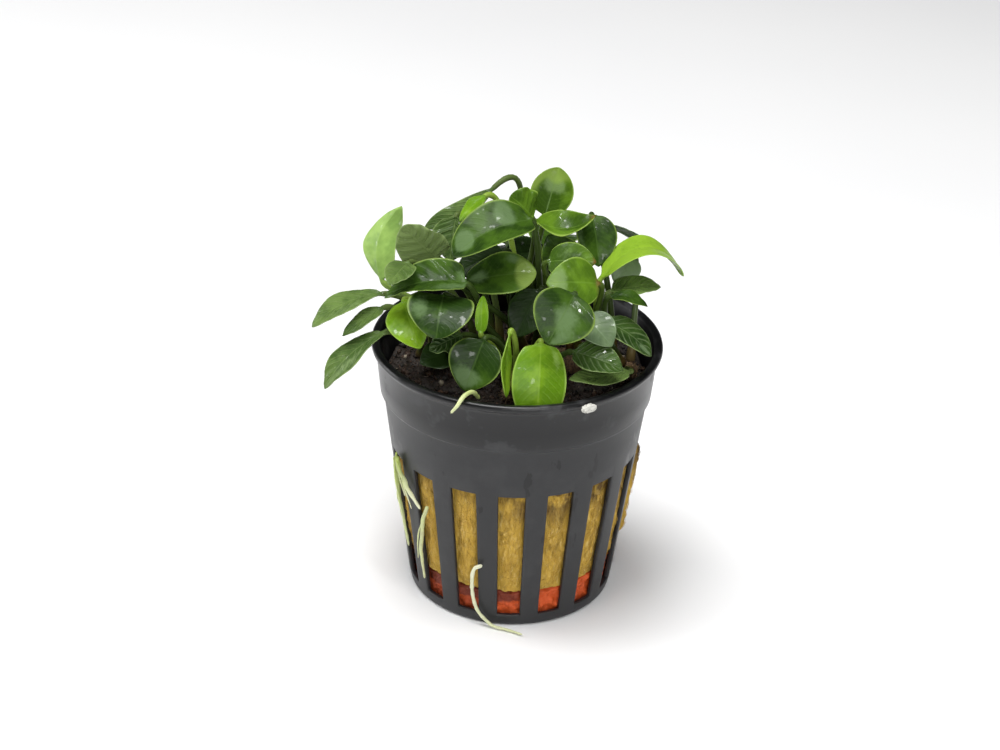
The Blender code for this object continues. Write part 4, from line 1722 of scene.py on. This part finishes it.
LEAVES = (
    Leaf("left_tall", MAIN, 0.85, (-25.2, -4, 65), (-21.5, 2, 77.1), 7.4, (0.5, 0.8, 0), -1.0,
         sway=-2.4, cup=0.2),
    Leaf("left_ribbed", MAIN, 0.72, (-15.2, -2, 69), (-21.1, -5, 76.6), 9.8, (-0.5, -0.7, 0.5), 0.6,
         full=0.25),
    Leaf("left_round", MAIN, 0.76, (-20, -10.5, 71.6), (-22.9, -18, 70.8), 5.4, (-0.2, -0.7, 0.7), 0.3),
    Leaf("left_outer", MAIN, 0.90, (-24.7, -8, 64.1), (-37.4, -12, 58.8), 7.2, (0, -0.05, 1), 1.6,
         broad=0.56),
    Leaf("left_middle", MAIN, 0.95, (-24.6, -10, 62.2), (-31.6, -15, 58.9), 4.0, (0, -0.1, 1), 0.3),
    Leaf("left_low", MAIN, 1.00, (-24, -13, 58.8), (-34.6, -18, 49.4), 6.3, (-0.3, -0.3, 1), 1.8, broad=0.56),
    Leaf("left_bright", MAIN, 0.82, (-20.8, -9.5, 63.5), (-17.3, -19, 58.8), 8.4, (-0.3, -0.6, 0.8), 1.0),
    Leaf("left_roof", MAIN, 0.7, (-9.3, -12.5, 68.8), (-24.2, -12.5, 65.5), 8.2, (0, -0.35, 1), 2.2,
         cup=0.45, reach=0.05, broad=0.3),
    Leaf("left_dark", FRONT, 0.32, (-13.4, -14, 67), (-14.3, -22.5, 62.7), 12.0, (0, -0.5, 0.85), 1.4,
         full=0.25),
    Leaf("crinkled", FRONT, 0.49, (-10.1, -13.9, 59.1), (-15.7, -17.8, 57.8), 5.0, (0.1, -0.5, 0.9), 0.4),
    Leaf("low_shade", FRONT, 0.80, (-11.7, -15.5, 56.5), (-17.3, -19, 55.8), 6.0, (0, -0.6, 0.8), 0.6),
    Leaf("back_arch", BACK, 0.42, (-5.3, 9, 78.5), (-18, 5.5, 71.4), 4.6, (0.2, -0.5, 0.8), 0.1,
         sway=1, reach=0.45, broad=0.58),
    Leaf("upper_young", MAIN, 0.57, (-6.8, 3, 79.3), (-11.3, 0, 75.5), 3.4, (-0.3, -0.3, 1), 0.3),
    Leaf("upper_big", MAIN, 0.49, (2, -3.5, 77.7), (-12, -9, 72.6), 10.6, (0, -0.35, 1), 2.0,
         cup=0.3, reach=0.03, full=0.25),
    Leaf("upper_small", BACK, 0.02, (2, 3.2, 75.3), (-2.2, 2.2, 79.8), 8.2, (0, -0.6, 0.9), 0.4, full=0.3),
    Leaf("ribbed_mid", MAIN, 0.65, (-12, 2.5, 75.1), (-12.8, -1.5, 68), 8.0, (-0.2, -0.7, 0.6), 0.4),
    Leaf("top_cup", BACK, 0.20, (4.4, 5.5, 74.6), (6.7, 8, 83.4), 8.0, (0, -1, 0.3), -0.6,
         cup=0.45, broad=0.5, full=0.4),
    Leaf("boat", MAIN, 0.45, (2.5, 1.5, 75.4), (13.9, 1, 77.2), 7.2, (0, -0.35, 1), -2.8,
         cup=0.45, reach=0.05, full=-0.3),
    Leaf("right_hang", MAIN, 0.16, (13, 5.8, 75.1), (14.6, -0.1, 67.2), 8.0, (0.3, -0.9, 0.4), 0.8,
         reach=0.05),
    Leaf("right_arch", BACK, 0.50, (15.5, 9, 71.4), (24.4, 9, 66.4), 6.4, (0, 0.55, 1), 0.9),
    Leaf("crescent", MAIN, 0.24, (15, -2, 65.6), (30.5, 2, 65.6), 9.0, (0, 0, 1), 5.7, full=0.2, broad=0.5),
    Leaf("right_blue", MAIN, 0.05, (21, 4, 67.7), (17.6, 0.5, 63.9), 6.0, (0.2, -0.7, 0.6), 0.6),
    Leaf("right_point", MAIN, 0.20, (17, -3, 63.6), (26.2, -2, 64.4), 7.2, (0, -0.1, 1), 0.5),
    Leaf("right_dark", MAIN, 0.13, (16.8, -8.5, 65.3), (23.4, -9.5, 63.9), 3.6, (0, -0.2, 1), 1.0),
    Leaf("centre_high", MAIN, 0.33, (5.1, -4.3, 69.8), (13.9, -5.8, 70.8), 7.4, (0, -0.6, 0.8), 0.6),
    Leaf("centre_right", MAIN, 0.28, (14.3, -9, 68), (4.8, -12, 69.3), 9.2, (0, -0.75, 0.65), 0.7),
    Leaf("centre_gloss", MAIN, 0.56, (-9.9, -7.5, 66.6), (3.1, -7, 68.9), 9.0, (0, -0.55, 0.85), 0.8,
         broad=0.55, full=0.25),
    Leaf("front_lime", FRONT, 0.97, (4.3, -16.8, 59.7), (4, -23.2, 46.8), 9.8, (0, -0.85, 0.5), 1.4,
         broad=0.5, full=0.45),
    Leaf("front_rolled", FRONT, 0.86, (-1.3, -17.7, 61.9), (-1.6, -23.7, 52), 4.8, (1, -0.35, 0.2), -0.6,
         broad=0.6),
    Leaf("front_left", FRONT, 0.76, (-5.9, -16.5, 59.8), (-9.1, -21, 51.5), 9.8, (-0.1, -0.85, 0.5), 0.8),
    Leaf("centre_round", FRONT, 0.45, (10, -16.5, 69.6), (5.3, -22, 62.1), 11.5, (0.1, -0.8, 0.6), 0.9,
         reach=0.02, lift=0.25),
    Leaf("under_round", FRONT, 0.25, (12, -13, 63.4), (17, -17.5, 59.7), 7.0, (0.1, -0.6, 0.8), 0.4),
    Leaf("right_veined", FRONT, 0.58, (10.1, -17, 58.1), (19.1, -20, 56.3), 6.8, (0.1, -0.5, 0.9), 0.6),
    Leaf("right_lowest", MAIN, 0.02, (20.5, -15, 53.4), (9.5, -21.5, 55), 5.6, (0, -0.2, 1), -0.5),
    Leaf("right_rim", MAIN, 0.08, (15.5, -10.5, 61.1), (24.3, -15, 56.6), 7.0, (0.2, -0.2, 1), 1.2),
    Leaf("spear", FRONT, 0.62, (-6.6, -14.5, 60.1), (-6.4, -12, 66.3), 2.4, (0, -0.9, 0.3), 0.2, full=0.3),
    Leaf("centre_shade", FRONT, 0.10, (4, -7, 65.4), (-0.6, -12.5, 58.3), 7.5, (0, -0.7, 0.7), 0.3),
    Leaf("upper_shade", MAIN, 0.37, (9.2, 1.5, 66.5), (5, 1.5, 72.6), 7.5, (0, -0.9, 0.2), 0.3),
    Leaf("inner_left", MAIN, 0.61, (-3, -1.3, 70.3), (-11.8, -4.3, 66.6), 6.5, (0, -0.6, 0.8), 0.4),
    Leaf("inner_right", BACK, 0.30, (-2.6, 9.5, 64.3), (5.3, 9.3, 65.9), 7.0, (0, -1, 0.35), 0.3),
    Leaf("rear_left_high", MAIN, 0.68, (-10, 6, 65.5), (-20, 15, 63.5), 10.5, (-0.1, 0.3, 1), 1.2),
    Leaf("rear_left_low", MAIN, 0.86, (-14, 9, 59), (-24.5, 18.5, 55.5), 10.5, (-0.2, 0.3, 1), 1.6),
    Leaf("rear_high", BACK, 0.62, (-2.5, 14, 65), (-7, 25, 62.5), 11.0, (0, 0.3, 1), 1.0),
    Leaf("rear_middle", BACK, 0.78, (-4, 16.5, 60.5), (-10, 28, 56), 11.5, (0, 0.4, 1), 1.5),
    Leaf("rear_low", BACK, 1.00, (4, 18.5, 56), (2, 31, 51.5), 11.0, (0, 0.5, 1), 1.6),
    Leaf("rear_right_high", BACK, 0.70, (4.5, 12.5, 65), (9, 22.5, 63), 10.5, (0, -0.1, 1), 1.2),
    Leaf("rear_right_low", BACK, 0.86, (9, 17, 59), (14.5, 28, 55), 10.0, (0.3, 0.3, 1), 1.5),
)

PALE, BROWN, WAXY = Mark

# Sheen spots paint reflections: pale patches put into a leaf's colour where its wet blade mirrors the soft
# lights.
LOOKS = {
    "left_tall": Look(Tone.MINT, pleat=0.05, ribs=4.0, wave=0.35, curl=1.0, pale=-0.1, spots=(
        Spot(PALE, 0.84, 0.5, 0.10, 0.6, -1.2),
    )),
    "left_ribbed": Look(Tone.OLIVE, pleat=0.42, wave=0.3, waves=2.4, pale=0.9),
    "left_round": Look(Tone.OLIVE, pleat=0.26, ribs=5.0, pale=0.2),
    "left_outer": Look(Tone.OLIVE, pleat=0.16, pale=0.1, spots=(
        Spot(PALE, 0.95, 0.0, 0.15, 0.8, 0.6),
        Spot(WAXY, 0.5, 0.6, 0.5, 0.5, 0.6),
    )),
    "left_middle": Look(Tone.OLIVE, pleat=0.08, pale=-0.15, spots=(
        Spot(WAXY, 0.8, 0.6, 0.3, 0.6, 0.6),
    )),
    "left_low": Look(Tone.OLIVE, pleat=0.2, wave=0.3, pale=-0.2, spots=(
        Spot(WAXY, 0.6, 0.5, 0.5, 0.4, 0.7),
    )),
    "left_bright": Look(Tone.LIME, pleat=0.05, pale=-0.05, spots=(
        Spot(WAXY, 0.9, 0.7, 0.2, 0.5, 0.5),
    )),
    "left_roof": Look(Tone.DARK, pleat=0.2, ribs=7.0, pale=0.1, spots=(
        Spot(WAXY, 0.15, 0.6, 0.3, 0.5, 0.8),
        Spot(WAXY, 0.05, -0.5, 0.15, 0.5, 0.6),
    )),
    "left_dark": Look(Tone.DARK, pleat=0.04, wave=0.25, pale=-0.3, spots=(
        Spot(WAXY, 0.45, -0.6, 0.4, 0.35, 0.75),
        Spot(PALE, 0.5, 0.8, 0.6, 0.5, -0.5),
    )),
    "crinkled": Look(Tone.VEINED, pleat=0.28, wave=0.5, waves=3.5),
    "low_shade": Look(Tone.SHADE, pale=0.4),
    "back_arch": Look(Tone.OLIVE, pleat=0.05, pale=-0.1),
    "upper_young": Look(Tone.LIME, pale=-0.2, spots=(Spot(WAXY, 0.8, 0.0, 0.3, 0.6, 0.5),)),
    "upper_big": Look(Tone.DARK, pleat=0.05, wave=0.2, spots=(
        Spot(WAXY, 0.28, -0.4, 0.12, 0.6, 1.2),
        Spot(WAXY, 0.82, -0.2, 0.12, 0.6, 1.4),
        Spot(PALE, 0.55, 0.0, 0.1, 0.9, 0.45),
        Spot(PALE, 0.98, 0.3, 0.1, 0.6, -0.9),
    )),
    "upper_small": Look(Tone.GREEN, pleat=0.12, wave=0.4, waves=2.5, spots=(
        Spot(WAXY, 0.5, 0.3, 0.3, 0.4, 0.5),
    )),
    "ribbed_mid": Look(Tone.OLIVE, pleat=0.34, wave=0.3, pale=-0.35),
    "top_cup": Look(Tone.GREEN, wave=0.05, spots=(
        Spot(PALE, 0.95, 0.0, 0.2, 1.6, 1.5),
        Spot(PALE, 0.6, 0.9, 0.5, 0.3, 1.3),
        Spot(WAXY, 0.68, 0.0, 0.24, 0.7, 1.2),
        # This pale spot sits on the sheen spot and brightens it: painted highlight.
        Spot(PALE, 0.7, 0.0, 0.16, 0.5, 0.8),
        Spot(PALE, 0.3, 0.2, 0.28, 0.6, -0.9),
    )),
    "boat": Look(Tone.GREEN, pleat=0.04, pale=0.5, spots=(
        Spot(BROWN, 0.95, 0.0, 0.05, 0.8, 0.8),
        Spot(PALE, 0.7, 0.3, 0.25, 0.7, -1.2),
        Spot(PALE, 0.5, -0.9, 0.8, 0.2, 0.7),
    )),
    "right_hang": Look(Tone.DARK, pleat=0.05, spots=(Spot(WAXY, 0.4, -0.8, 0.4, 0.3, 0.7),)),
    "right_arch": Look(Tone.SLATE, pleat=0.05),
    "crescent": Look(Tone.LIME, pleat=0.05, curl=0.8, pale=0.75, spots=(
        Spot(WAXY, 0.75, -0.5, 0.3, 0.6, 0.6),
        Spot(PALE, 1.0, 0.0, 0.1, 1.0, -0.5),
    )),
    # The high pale value lightens this leaf to make up for the shade it sits in: painted light.
    "right_blue": Look(Tone.SLATE, pleat=0.04, pale=0.9),
    "right_point": Look(Tone.OLIVE, pleat=0.16, pale=0.1),
    "right_dark": Look(Tone.DARK, pleat=0.08),
    "centre_high": Look(Tone.GREEN, pleat=0.05, pale=-0.3, spots=(
        Spot(PALE, 0.85, 0.3, 0.16, 0.6, 1.0),
        Spot(BROWN, 0.98, 0.0, 0.05, 0.9, 0.8),
        Spot(WAXY, 0.35, 0.3, 0.3, 0.6, 0.55),
    )),
    "centre_right": Look(Tone.GREEN, pleat=0.05, pale=0.3, spots=(
        Spot(PALE, 0.85, 0.0, 0.2, 0.9, 0.5),
        Spot(WAXY, 0.8, 0.0, 0.22, 0.9, 1.2),
        Spot(BROWN, 0.02, 0.0, 0.04, 0.9, 0.6),
    )),
    "centre_gloss": Look(Tone.DARK, pale=0.1, spots=(
        Spot(PALE, 0.88, -0.1, 0.2, 1.2, 1.7),
        Spot(WAXY, 0.2, 0.1, 0.16, 0.5, 1.0),
        Spot(WAXY, 0.72, 0.7, 0.14, 0.3, 0.8),
        Spot(PALE, 0.45, 0.5, 0.25, 0.5, -0.4),
    )),
    "front_lime": Look(Tone.LIME, pleat=0.02, ribs=5.0, wave=0.1, pale=-0.4, spots=(
        Spot(PALE, 0.5, 0.0, 0.8, 0.25, 0.4),
        Spot(WAXY, 0.2, 0.7, 0.3, 0.25, 0.6),
    )),
    "front_rolled": Look(Tone.LIME, spots=(Spot(WAXY, 0.3, 0.0, 0.4, 1.0, 0.5),)),
    "front_left": Look(Tone.DARK, pale=-0.1, spots=(
        # This spot darkens the top of the blade: painted shade.
        Spot(PALE, 0.2, 0.0, 0.35, 1.2, -1.0),
        Spot(WAXY, 0.75, -0.2, 0.2, 0.8, 1.3),
        Spot(PALE, 0.6, 0.5, 0.3, 0.5, 0.6),
    )),
    "centre_round": Look(Tone.DARK, pleat=0.04, pale=0.1, spots=(
        Spot(WAXY, 0.45, 0.1, 0.25, 0.5, 0.9),
        Spot(WAXY, 0.85, 0.5, 0.2, 0.5, 0.8),
        Spot(PALE, 0.4, -0.8, 0.4, 0.5, -0.5),
    )),
    "under_round": Look(Tone.SLATE, pleat=0.04, pale=0.2),
    "right_veined": Look(Tone.VEINED, pleat=0.22, ribs=7.0, pale=0.6),
    "right_lowest": Look(Tone.OLIVE, pleat=0.05, pale=0.5),
    "right_rim": Look(Tone.VEINED, pleat=0.2, pale=-0.1, spots=(
        Spot(WAXY, 0.85, -0.2, 0.2, 0.5, 0.9),
    )),
    "spear": Look(Tone.LIME, pleat=0.0, wave=0.05, pale=-0.5),
    "centre_shade": Look(Tone.SHADE, pale=0.3),
    "inner_left": Look(Tone.SHADE),
    "inner_right": Look(Tone.SHADE, pale=0.2),
}


@dataclass(frozen=True)
class LeafBuilder:
    """Makes the fine surface of one leaf from its row and its look."""

    leaf: Leaf
    look: Look
    seed: int
    sides: int = 44
    blade_rings: int = 56
    stalk_rings: int = 24
    rhizome_radius: float = 2.3
    clearance: float = 0.3
    foot_radius: float = 0.62
    stalk_radius: float = 0.5
    half_thickness: float = 0.19
    ridge: float = 0.22
    groove: float = 0.07
    tip_end: float = 0.9985
    hook_from: float = 0.75
    merge_until: float = 0.07
    foot_depth: float = 0.7
    sheath: float = 0.30
    knee: float = 0.09

    def outline(self, along: Array) -> Array:
        """Half width as a share: a power of the sine of pi times a power of the place along."""
        power = math.log(0.5) / math.log(self.leaf.broad)
        return np.sin(math.pi * along**power) ** ((0.6 + 0.15 * along) * (1.0 - self.leaf.full))

    def directions(self) -> tuple[Array, Array, Array, Array]:
        """Blade base and tip, and the unit side and face directions."""
        base, tip = np.array(self.leaf.base, float), np.array(self.leaf.tip, float)
        axis = unit(tip - base)
        face = np.array(self.leaf.face, float)
        face = unit(face - axis * np.dot(face, axis))
        return base, tip, np.cross(face, axis), face

    def midrib(self, along: Array) -> tuple[Array, Array]:
        """The midrib: base to tip plus bow and sway times 4 along (1 - along).

        Past the place where the hook starts, the curl bends it down by the square
        of the way to the tip.
        """
        base, tip, side, face = self.directions()
        share = along[:, None]
        bend = self.leaf.bow * face + self.leaf.sway * side
        points = base + (tip - base) * share + bend * 4.0 * share * (1.0 - share)
        slopes = (tip - base) + bend * 4.0 * (1.0 - 2.0 * share)
        hook = np.clip((share - self.hook_from) / (1.0 - self.hook_from), 0.0, 1.0)
        return points - self.look.curl * face * hook**2, unit(slopes)

    def moods(self, along: Array, across: Array) -> Array:
        """Pale, brown and painted sheen values: each spot is a round hill of its strength."""
        values = np.zeros((*np.broadcast_shapes(along.shape, across.shape), 3))
        values[..., 0] = self.look.pale
        for spot in self.look.spots:
            shape = hill(along, spot.along, spot.reach_along)
            shape = shape * hill(across, spot.across, spot.reach_across)
            values[..., spot.mark.value] += spot.amount * shape
        return values

    def blade(self) -> tuple[Array, Paints]:
        """Rings of the blade.

        A ring's point stands off the midrib by the half width times the place
        across along the side, and along the face by the cup (across to the 1.5),
        the pleats (a sine of the slanted place along), the wavy edge (a sine
        along times across cubed) and the thickness, whose half is a root of one
        minus across to the fourth, with a ridge under the midrib and a groove on
        top.  Near the base the section turns into the petiole's circle.

        Returns:
            The points by ring and place round it, and their paints.
        """
        turn = np.linspace(0.0, math.pi, self.blade_rings + 1)[:-1]
        along = 0.5 - 0.5 * np.cos(turn)
        along = along / along[-1] * self.tip_end
        points, tangents = self.midrib(along)
        side = self.directions()[2]
        face = unit(np.cross(tangents, side))
        angle = turn_steps(self.sides)[None]
        cosine, sine = np.cos(angle), np.sin(angle)
        across = np.sign(cosine) * np.abs(cosine) ** 1.5
        size = np.abs(across)
        above = np.where(sine >= 0.0, 1.0, -1.0)
        column = along[:, None]
        half = 0.5 * self.leaf.width * self.outline(column)
        offset = across * half
        phase = 0.9 * self.leaf.width + np.where(across > 0.0, 0.0, 1.3)
        pleats = np.sin(TURN * (self.look.ribs * (column - 0.24 * size) + 0.1 * phase))
        sheet = self.look.pleat * pleats * size**0.6 * (1.0 - size) ** 0.4
        sheet = sheet * smooth_step(column, 0.02, 0.2)
        sheet = sheet + self.look.wave * np.sin(TURN * self.look.waves * column + phase) * size**3
        sheet = sheet * smooth_step(1.0 - column, 0.0, 0.15)
        shift = 0.12 * Lumps(7.0, self.seed).at(points)[:, None] * size**2
        rise = self.leaf.cup * half * size**1.5 + sheet + shift
        thick = self.half_thickness * np.sqrt(np.clip(1.0 - across**4, 0.0, 1.0))
        groove, ridge = -self.groove * hill(offset, 0.0, 0.3), self.ridge * hill(offset, 0.0, 0.42)
        thick = thick + np.where(above > 0.0, groove, ridge) * smooth_step(half, 0.3, 1.5)
        thick = thick * smooth_step(half, 0.0, 0.9)
        lens_side, lens_face = offset, rise + above * np.abs(thick)
        merge = smooth_step(column, 0.0, self.merge_until)
        ring_side = (1.0 - merge) * self.stalk_radius * cosine + merge * lens_side
        ring_face = (1.0 - merge) * self.stalk_radius * sine + merge * lens_face
        rings = points[:, None] + ring_side[..., None] * side + ring_face[..., None] * face[:, None]
        flat = np.ones_like(ring_side)
        upper = np.clip(0.5 + 2.0 * sine, 0.0, 1.0)
        marks = np.stack([column * flat, across * flat, upper * flat], axis=-1)
        return rings, {"blade": marks, "mood": self.moods(column, across)}

    def foot(self) -> tuple[Array, Array]:
        """Where the petiole leaves the rhizome, and the way it leaves."""
        centres, tangents = route(self.leaf.stem.stops, np.array([self.leaf.along]))
        towards = np.array(self.leaf.base, float) - centres[0]
        outwards = unit(towards - tangents[0] * np.dot(towards, tangents[0]))
        return centres[0] + (self.rhizome_radius + self.clearance) * outwards, outwards

    def stalk(self) -> tuple[Array, Paints, Array]:
        """Rings of the petiole, from inside the rhizome's skin to the blade.

        The radius falls evenly from the foot, with a sheath at the foot and a
        knee below the blade, each a round hill.

        Returns:
            The points, their paints, and the pole at the foot.
        """
        foot, outwards = self.foot()
        points, tangents = self.midrib(np.array([0.0]))
        side = self.directions()[2]
        span = float(np.linalg.norm(points[0] - foot))
        controls = (
            foot,
            foot + outwards * span * self.leaf.lift,
            points[0] - tangents[0] * span * self.leaf.reach,
            points[0],
        )
        share = np.linspace(0.0, 1.0, self.stalk_rings, endpoint=False)
        path, ways = bezier(controls, share)
        path[0] = path[0] - self.foot_depth * outwards
        across = carried(side, ways[::-1])[::-1]
        radii = self.foot_radius + (self.stalk_radius - self.foot_radius) * share
        radii = radii + self.sheath * hill(share, 0.0, 0.10) + self.knee * hill(share, 0.90, 0.05)
        rings = round_rings(path, ways, across, radii, self.sides)
        paint = constant_paint(rings.shape[:2], (0.0, 0.0, 1.0))
        paint[..., 0] = (share - 1.0)[:, None] - 0.02
        mood = constant_paint(rings.shape[:2], (self.look.pale, 0.0, 0.0))
        mood[..., 1] = 0.55 * hill(share, 0.0, 0.12)[:, None]
        return rings, {"blade": paint, "mood": mood}, path[0] - 0.2 * outwards

    def skin(self) -> Skin:
        """The petiole and the blade as one closed surface."""
        stalk, stalk_paints, pole = self.stalk()
        blade, blade_paints = self.blade()
        paints = {name: np.concatenate([paint, blade_paints[name]]) for name, paint in stalk_paints.items()}
        tip = self.midrib(np.array([1.0]))[0][0]
        skin = Skin()
        skin.add_tube(np.concatenate([stalk, blade]), (pole, tip), paints)
        return skin


@dataclass(frozen=True)
class Crown:
    """All the leaves of the plant, with the finish of each tone made once."""

    leaves: tuple[Leaf, ...] = LEAVES
    plain: Look = Look(Tone.DARK, pleat=0.06, pale=0.1)
    young: tuple[Tone, ...] = (Tone.LIME, Tone.MINT)
    first_seed: int = 80

    def build(self) -> list[Piece]:
        """Make every leaf.

        Returns:
            The dressed leaves.
        """
        finishes = {tone: tone.value.paint() for tone in Tone}
        made = []
        for seed, leaf in enumerate(self.leaves, self.first_seed):
            look = LOOKS.get(leaf.name, self.plain)
            skin = LeafBuilder(leaf, look, seed).skin()
            slot = "young_leaf" if look.tone in self.young else "leaf"
            made.append(Piece("blade_" + leaf.name, skin, finishes[look.tone], ("leaf_" + leaf.name,), slot))
        return made


# The studio


@dataclass(frozen=True)
class Lamp:
    """A square soft light: its place, side and power, and what it looks at."""

    name: str
    place: Point
    side: float
    power: float
    aim: Point = (0.0, 0.0, 40.0)

    def light(self) -> None:
        """Put the light in the scene."""
        data = bpy.data.lights.new(self.name, "AREA")
        data.shape = "SQUARE"
        data.size = self.side * MM
        data.energy = self.power
        lamp = put(self.name, data)
        lamp.matrix_world = looking(self.place, self.aim, 0.0)


def looking(place: Point, aim: Point, roll: float) -> Matrix:
    """A frame at a place whose -Z looks at the aim, rolled about that line.

    Args:
        place: Where it stands, in millimetres.
        aim: What it looks at, in millimetres.
        roll: Turn about the line of sight in radians.

    Returns:
        The 4 by 4 matrix in metres.
    """
    ahead = unit(np.array(aim, float) - np.array(place, float))
    right = unit(np.cross(ahead, (0.0, 0.0, 1.0)))
    above = np.cross(right, ahead)
    rolled_right = right * math.cos(roll) + above * math.sin(roll)
    rolled_above = above * math.cos(roll) - right * math.sin(roll)
    matrix = np.eye(4)
    matrix[:3, 0], matrix[:3, 1], matrix[:3, 2] = rolled_right, rolled_above, -ahead
    matrix[:3, 3] = np.array(place) * MM
    return Matrix(matrix.tolist())


@dataclass(frozen=True)
class Studio:
    """The pale floor, the soft lights and the camera."""

    eye: Point = (0.0, -346.4, 230.0)
    aim: Point = (-3.05, 0.0, 43.8)
    roll: float = math.radians(1.643)
    lens: float = 74.4
    sensor: float = 36.0
    clip: tuple[float, float] = (0.01, 20.0)
    floor_half: float = 3000.0
    sky: tuple[float, float] = (1.1, 0.15)
    sky_fall: tuple[float, float] = (0.15, 0.55)
    lamps: tuple[Lamp, ...] = (
        Lamp("soft_top", (-120.0, -60.0, 900.0), 480.0, 8.5),
        Lamp("soft_front", (180.0, -760.0, 420.0), 460.0, 3.6),
        Lamp("soft_left", (-800.0, 160.0, 300.0), 500.0, 3.6),
        Lamp("glint", (120.0, -330.0, 900.0), 60.0, 1.2, aim=(0.0, 0.0, 60.0)),
    )

    def camera(self) -> None:
        """Put the camera where the photograph was taken from."""
        data = bpy.data.cameras.new("camera")
        data.lens = self.lens
        data.sensor_width = self.sensor
        data.clip_start, data.clip_end = self.clip
        camera = put("camera", data)
        camera.matrix_world = looking(self.eye, self.aim, self.roll)
        bpy.context.scene.camera = camera

    def floor(self) -> None:
        """Lay the floor under the pot."""
        ways = np.array([(-1.0, -1.0, 0.0), (1.0, -1.0, 0.0), (1.0, 1.0, 0.0), (-1.0, 1.0, 0.0)])
        skin = Skin()
        skin.add(self.floor_half * ways, np.array([[0, 1, 2, 3]]), None, {})
        mesh = skin.mesh("floor")
        mesh.materials.append(FloorFinish().paint())
        floor = put("floor", mesh)

    def surroundings(self) -> None:
        """Light the room: bright at the horizon and dimmer overhead."""
        world = bpy.data.worlds.new("surroundings")
        world.use_nodes = True
        bpy.context.scene.world = world
        nodes, links = world.node_tree.nodes, world.node_tree.links
        direction = nodes.new("ShaderNodeTexCoord")
        parts = nodes.new("ShaderNodeSeparateXYZ")
        fall = nodes.new("ShaderNodeMapRange")
        fall.interpolation_type = "SMOOTHSTEP"
        for name, value in zip(("From Min", "From Max", "To Min", "To Max"), (*self.sky_fall, *self.sky)):
            fall.inputs[name].default_value = value
        links.new(direction.outputs["Generated"], parts.inputs[0])
        links.new(parts.outputs[2], fall.inputs["Value"])
        links.new(fall.outputs["Result"], nodes["Background"].inputs["Strength"])

    def build(self) -> None:
        """Set up the floor, the lights and the camera."""
        self.floor()
        self.surroundings()
        for lamp in self.lamps:
            lamp.light()
        self.camera()
        bpy.context.scene.view_settings.view_transform = "Standard"


def main() -> None:
    """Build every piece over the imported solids, then the studio."""
    logging.basicConfig(level=logging.INFO, format="%(message)s")
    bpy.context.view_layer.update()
    pot = NetPot()
    pieces = [pot.build(), WoolPlug(pot).build(), ClayDisc(pot).build(), SoilBed(pot).build()]
    pieces += [Rhizome(stem).build() for stem in Stem]
    root_finish = RootFinish().paint()
    pieces += [root.build(root_finish) for root in ROOTS]
    pieces.append(PerliteGrain().build())
    pieces += Crown().build()
    for piece in pieces:
        piece.place()
    Studio().build()


if __name__ == "__main__":
    main()
